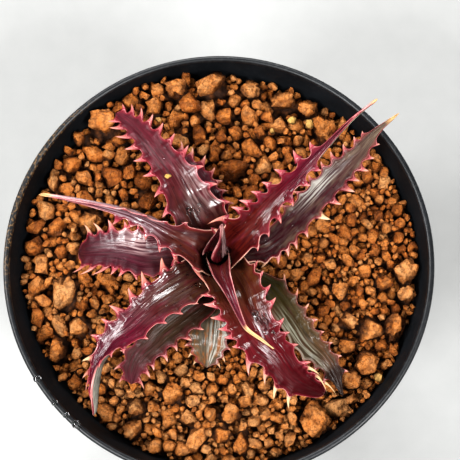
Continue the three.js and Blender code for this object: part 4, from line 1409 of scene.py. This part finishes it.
def packed_grit():
    grit = Finish("packed_grit", Roughness=0.95)
    crumbs = grit.node("ShaderNodeTexVoronoi", {"Vector": grit.place(), "Scale": 700}).outputs["Distance"]
    # Painted shade: the grit is much darker than the clay, for the deep gaps between the stones, and darkest in
    # the hollows between its crumbs.
    grit.feed(Base_Color=grit.ramp(crumbs, (0.0, (0.16, 0.05, 0.01)), (0.6, (0.03, 0.009, 0.002))))
    grit.bump((crumbs, -0.6))
    return grit.material


FIRED_CLAY = fired_clay()
core = build_core(packed_grit())


# %% A node tree that puts a copy on every resting place
def copies_tree():
    tree, given = tree_with("copies", Places="Geometry", Shapes="Collection", Material="Material")
    copies = copies_on_points(tree, given["Places"], given["Shapes"])
    finished = with_material(tree, copies, given["Material"])
    smooth = add_node(tree, "GeometryNodeSetShadeSmooth", {"Geometry": finished, "Shade Smooth": True})
    add_node(tree, "NodeGroupOutput", {0: smooth.outputs[0]})
    return tree


COPIES = copies_tree()


def copied(name, places, attributes, shapes, material):
    """A piece made of copies of some shapes, one for each place."""
    piece = into_scene(points_object(name, places, attributes))
    set_inputs(piece, COPIES, {"Shapes": shapes, "Material": material})
    bake_modifiers(piece)
    return piece


# %% Lay the loose stones
STONE_CREASE = 34  # degrees between two faces from which their edge is sharp
STONE_WIDTHS, STONE_LENGTHS, STONE_HEIGHTS = (0.95, 1.08), (1.0, 1.4), (0.8, 1.0)
STONE_TILT = 0.5


def column(mesh, name):
    """All values of one attribute of a mesh's points, as rows of one or three numbers."""
    layer = mesh.attributes[name]
    wide, field = (3, "vector") if layer.data_type == "FLOAT_VECTOR" else (1, "value")
    values = np.empty(len(layer.data) * wide, dtype=np.float32)
    layer.data.foreach_get(field, values)
    return values.reshape(-1, wide)


def loose_stones(name, stones, tints):
    stones = np.array(stones)
    count = len(stones)
    width = 2 * stones[:, 3] * draw.uniform(*STONE_WIDTHS, count)
    size = [width * draw.uniform(*STONE_LENGTHS, count), width, width * draw.uniform(*STONE_HEIGHTS, count)]
    tilt = [draw.normal(0, STONE_TILT, count) for _ in range(2)]
    turn = [*tilt, draw.uniform(0, 2 * math.pi, count)]
    attributes = {
        "turn": ("FLOAT_VECTOR", np.stack(turn, axis=1)),
        "size": ("FLOAT_VECTOR", np.stack(size, axis=1) * MM),
        "pick": ("INT", draw.integers(0, STONE_SHAPES, count).astype(np.int32)),
        "tint": ("FLOAT", tints),
        "middle": ("FLOAT", stones[:, 2] * MM),
        "reach": ("FLOAT", stones[:, 3] * MM),
    }
    piece = copied(name, stones[:, :3], attributes, STONES, FIRED_CLAY)
    mesh = piece.data
    mesh.set_sharp_from_angle(angle=math.radians(STONE_CREASE))
    height = column(mesh, "position")[:, 2:]
    store(mesh, "lift", (height - column(mesh, "middle")) / column(mesh, "reach"))
    print(f"{name}: {count} stones, {len(mesh.polygons)} faces")
    return piece


def loose_tints(stones, dark, light):
    # The place adds painted light and shade to each stone's random tint.
    dry = painted_light_by_place(*np.array(stones)[:, :2].T)
    return dry + (1 - dry) * draw.beta(dark, light, len(stones))


granules = loose_stones("granules_coarse", coarse, loose_tints(coarse, 2.2, 3.0))
grit = loose_stones("granules_fine", fine, loose_tints(fine, 2.2, 3.2))
chip_pieces = loose_stones("pale_chips", chips, np.linspace(CHIP_TINT, 1.05, len(chips)))

# %% The large stones, each with its own broken shape
LARGE_SEED, TINT_SEED = 200, 5
LARGE_TINTS = np.clip(np.random.default_rng(TINT_SEED).normal(0.64, 0.14, len(LARGE_GRANULES)), 0.3, 0.85)


def large_granule(number, x, y, length, width, angle):
    points, faces = stone_mesh(4, LARGE_SEED + number, True)
    height = STONE_FLATNESS * width
    points = points * (length, width, height)
    east, north = turned(points[:, 0], points[:, 1], angle)
    z = float(soil_height(x, y)) + STONE_LIFT * height
    placed = np.stack([x + east, y + north, z + points[:, 2]], axis=1)
    piece = mesh_object(f"large_granule_{number:02d}", placed, faces, [FIRED_CLAY])
    store(piece.data, "tint", np.full(len(points), LARGE_TINTS[number - 1]))
    store(piece.data, "lift", points[:, 2] / (height / 2))
    return piece


large_pieces = [large_granule(number, *granule) for number, granule in enumerate(LARGE_GRANULES, 1)]
print("large stones:", len(large_pieces))

# %% [markdown]
# ## Water
#
# The plant has just been sprayed. A drop on a waxy leaf is a low dome that keeps its edge, so
# one dome of a few dozen faces is copied: a few wide drops where they gather, a fine spray
# near the heart that the seed scatters, and beads on the lip of the pot. Each copy stands on
# the surface with the surface's own direction.

# %% Where the drops stand: for each leaf, share of its length, place across and width
WIDE_DROPS = {
    "leaf_northwest_broad": (
        (0.322, 0.3, 1.4), (0.309, -0.1, 1.0), (0.329, 0.1, 0.9), (0.345, 0.25, 0.8), (0.33, -0.25, 1.0),
    ),
    "leaf_southeast_broad": (
        (0.445, 0.3, 1.7), (0.5, 0.5, 2.0), (0.54, 0.35, 1.5), (0.47, 0.62, 1.2), (0.475, 0.3, 1.3),
        (0.56, 0.62, 1.0), (0.52, 0.0, 0.7),
    ),
    "leaf_southwest_upper": ((0.226, 0.3, 0.9), (0.245, 0.25, 0.6), (0.21, 0.35, 0.7), (0.222, 0.5, 0.5)),
}
SPRAY_LEAVES = (
    "leaf_northwest_broad", "leaf_northeast_upper", "leaf_west_upper", "leaf_southeast_broad",
    "leaf_southwest_upper", "leaf_northeast_lower",
)
SPRAY_COUNT, SPRAY_SEED = 170, 4
SPRAY_STARTS, SPRAY_SPREAD = 0.22, 0.4  # shares of a leaf's length
SPRAY_ACROSS, SPRAY_WIDTHS = 0.8, (0.2, 0.42)
RIM_BEADS = ((-146.4, 2.0), (-138.5, 1.7), (-133.9, 1.7), (-130.4, 2.0), (-128.9, 0.9))  # bearing, width
SUNK_IN_LEAF, SUNK_IN_LIP = 0.03, 0.1


def drop_places():
    """The place of each drop, the direction it stands in, and its width."""
    spray = np.random.default_rng(SPRAY_SEED)
    spots = [(leaf, *drop) for leaf, drops in WIDE_DROPS.items() for drop in drops]
    for _ in range(SPRAY_COUNT):
        leaf = SPRAY_LEAVES[spray.integers(len(SPRAY_LEAVES))]
        share = SPRAY_STARTS + SPRAY_SPREAD * spray.uniform() ** 2
        spots.append((leaf, share, spray.uniform(-SPRAY_ACROSS, SPRAY_ACROSS), spray.uniform(*SPRAY_WIDTHS)))
    found = []
    for leaf, share, across, width in spots:
        place, normal = BLADES[leaf].spot(share, across)
        found.append((place - normal * SUNK_IN_LEAF, normal, width))
    for angle, width in RIM_BEADS:
        turn, radius = math.radians(angle), RIM_RADIUS - LIP_WIDTH / 2
        place = (radius * math.cos(turn), radius * math.sin(turn), POT_HEIGHT - SUNK_IN_LIP)
        found.append((place, (0, 0, 1), width))
    return zip(*found)


# %% One dome, copied by the same node tree
DOMES = bpy.data.collections.new("domes")
DOME_SEGMENTS = 18


def water_dome():
    profile = [(0.5, 0.0), (0.49, 0.1), (0.44, 0.2), (0.34, 0.3), (0.18, 0.37), (AXIS, 0.39)]
    points, faces = swept([(AXIS, 0.0), *profile], DOME_SEGMENTS)
    tidy_mesh(shape_to_copy("dome", points, faces, DOMES))


def clear_water():
    water = Finish("clear_water", Roughness=0.02, IOR=1.33, Transmission_Weight=1.0)
    ripple = water.noise(water.place(), 900, 2)
    water.feed(Base_Color=water.ramp(ripple, (0.3, (0.96, 0.97, 0.98)), (0.7, (1, 1, 1))))
    water.bump((ripple, 0.01))
    return water.material


water_dome()
places, normals, widths = drop_places()
stands = [tuple(Vector(normal).to_track_quat("Z", "Y").to_euler()) for normal in normals]
attributes = {
    "turn": ("FLOAT_VECTOR", stands),
    "size": ("FLOAT_VECTOR", np.repeat(widths, 3) * MM),
    "pick": ("INT", [0] * len(places)),
}
drops = copied("water_drops", places, attributes, DOMES, clear_water())
print("drops:", len(places), "faces:", len(drops.data.polygons))

# %% A chip of clay that has fallen on the north-west leaf
CHIP_SEED, CHIP_SIZE, CHIP_LIFT = 61, (1.7, 1.1, 0.7), 0.3
chip_place, chip_normal = BLADES["leaf_northwest_broad"].spot(0.517, 0.38)
chip_points, chip_faces = stone_mesh(3, CHIP_SEED, True)
chip_points = chip_points * CHIP_SIZE + chip_place + chip_normal * CHIP_LIFT
fallen_chip = mesh_object("fallen_chip", chip_points, chip_faces, [FIRED_CLAY])
store(fallen_chip.data, "tint", np.full(len(chip_points), CHIP_TINT))
store(fallen_chip.data, "lift", np.full(len(chip_points), 1.0))

# %% [markdown]
# ## Rootstock
#
# The short stem under the rosette is hidden by the sheaths. It keeps its own plain solid, and
# only gets the brown, ringed bark that shows if a leaf is ever taken off.


# %% Bark of the rootstock
def rootstock_bark():
    bark = Finish("rootstock_bark", Roughness=0.85)
    stretch = bark.node("ShaderNodeMapping", {"Vector": bark.place(), "Scale": (1, 1, 4)}).outputs[0]
    fibre = bark.noise(stretch, 420, 5, 0.6)
    bark.feed(Base_Color=bark.ramp(fibre, (0.3, (0.05, 0.025, 0.014)), (0.7, (0.2, 0.12, 0.07))))
    bark.bump((fibre, 0.5))
    return bark.material


rootstock = bpy.data.objects["rootstock"]
rootstock.data.materials.clear()
rootstock.data.materials.append(rootstock_bark())

# %% [markdown]
# ## The stage
#
# The floor is a pale, matt sheet that reaches well past the pot. Four soft boxes stand around
# it, high up to the sides. None hangs straight overhead, so the flat parts of the leaves keep
# their deep colour, the tilted parts shine in streaks, and the gaps between the granules stay
# dark. A weak, even sky fills the rest.

# %% Floor, light and sky
FLOOR_HALF, FLOOR_UNDER = 900.0, -0.2
LIT_PLACE = Vector((0, 0, 0.09))
SOFT_BOXES = {  # place and size in metres, and power in watts
    "south_west_box": ((-0.8, -0.75, 1.33), (0.42, 0.42), 21),
    "south_east_box": ((0.8, -0.75, 1.33), (0.42, 0.42), 22),
    "west_box": ((-1.1, 0.14, 1.2), (0.4, 0.6), 14),
    "north_box": ((-0.2, 1.3, 1.07), (0.9, 0.42), 19),
}
SKY_COLOR, SKY_STRENGTH = (1.0, 0.98, 0.95), 0.24


def build_floor():
    paper = Finish("floor_paper", Roughness=0.8)
    fibre = paper.noise(paper.place(), 120, 4)
    paper.feed(Base_Color=paper.ramp(fibre, (0.3, (0.395, 0.399, 0.394)), (0.7, (0.415, 0.419, 0.413))))
    corners = [(x * FLOOR_HALF, y * FLOOR_HALF, FLOOR_UNDER) for x, y in ((-1, -1), (1, -1), (1, 1), (-1, 1))]
    return mesh_object("floor", corners, [(0, 1, 2, 3)], [paper.material])


def soft_box(name, place, size, power):
    lamp = bpy.data.lights.new(name, "AREA")
    lamp.shape, lamp.size, lamp.size_y, lamp.energy = "RECTANGLE", *size, power
    holder = bpy.data.objects.new(name, lamp)
    holder.location = place
    holder.rotation_euler = (LIT_PLACE - Vector(place)).to_track_quat("-Z", "Y").to_euler()
    into_scene(holder)


def even_sky():
    world = bpy.data.worlds.new("sky")
    world.use_nodes = True
    background = world.node_tree.nodes["Background"]
    background.inputs["Color"].default_value = with_alpha(SKY_COLOR)
    background.inputs["Strength"].default_value = SKY_STRENGTH
    bpy.context.scene.world = world


floor = build_floor()
for name, (place, size, power) in SOFT_BOXES.items():
    soft_box(name, place, size, power)
even_sky()
bpy.context.scene.view_settings.view_transform = "Standard"
bpy.context.scene.view_settings.look = "Medium High Contrast"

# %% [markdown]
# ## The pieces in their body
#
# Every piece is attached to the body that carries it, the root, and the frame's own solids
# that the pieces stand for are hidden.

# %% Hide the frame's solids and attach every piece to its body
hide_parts("pot")
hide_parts("soil_bed")
for name, piece in leaf_pieces.items():
    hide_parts(name)
for number, piece in enumerate(large_pieces, 1):
    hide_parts(f"granule_{number:02d}")
for piece in [pot, core, granules, grit, chip_pieces, fallen_chip, drops, *leaf_pieces.values(), *large_pieces]:
    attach(piece, "root")
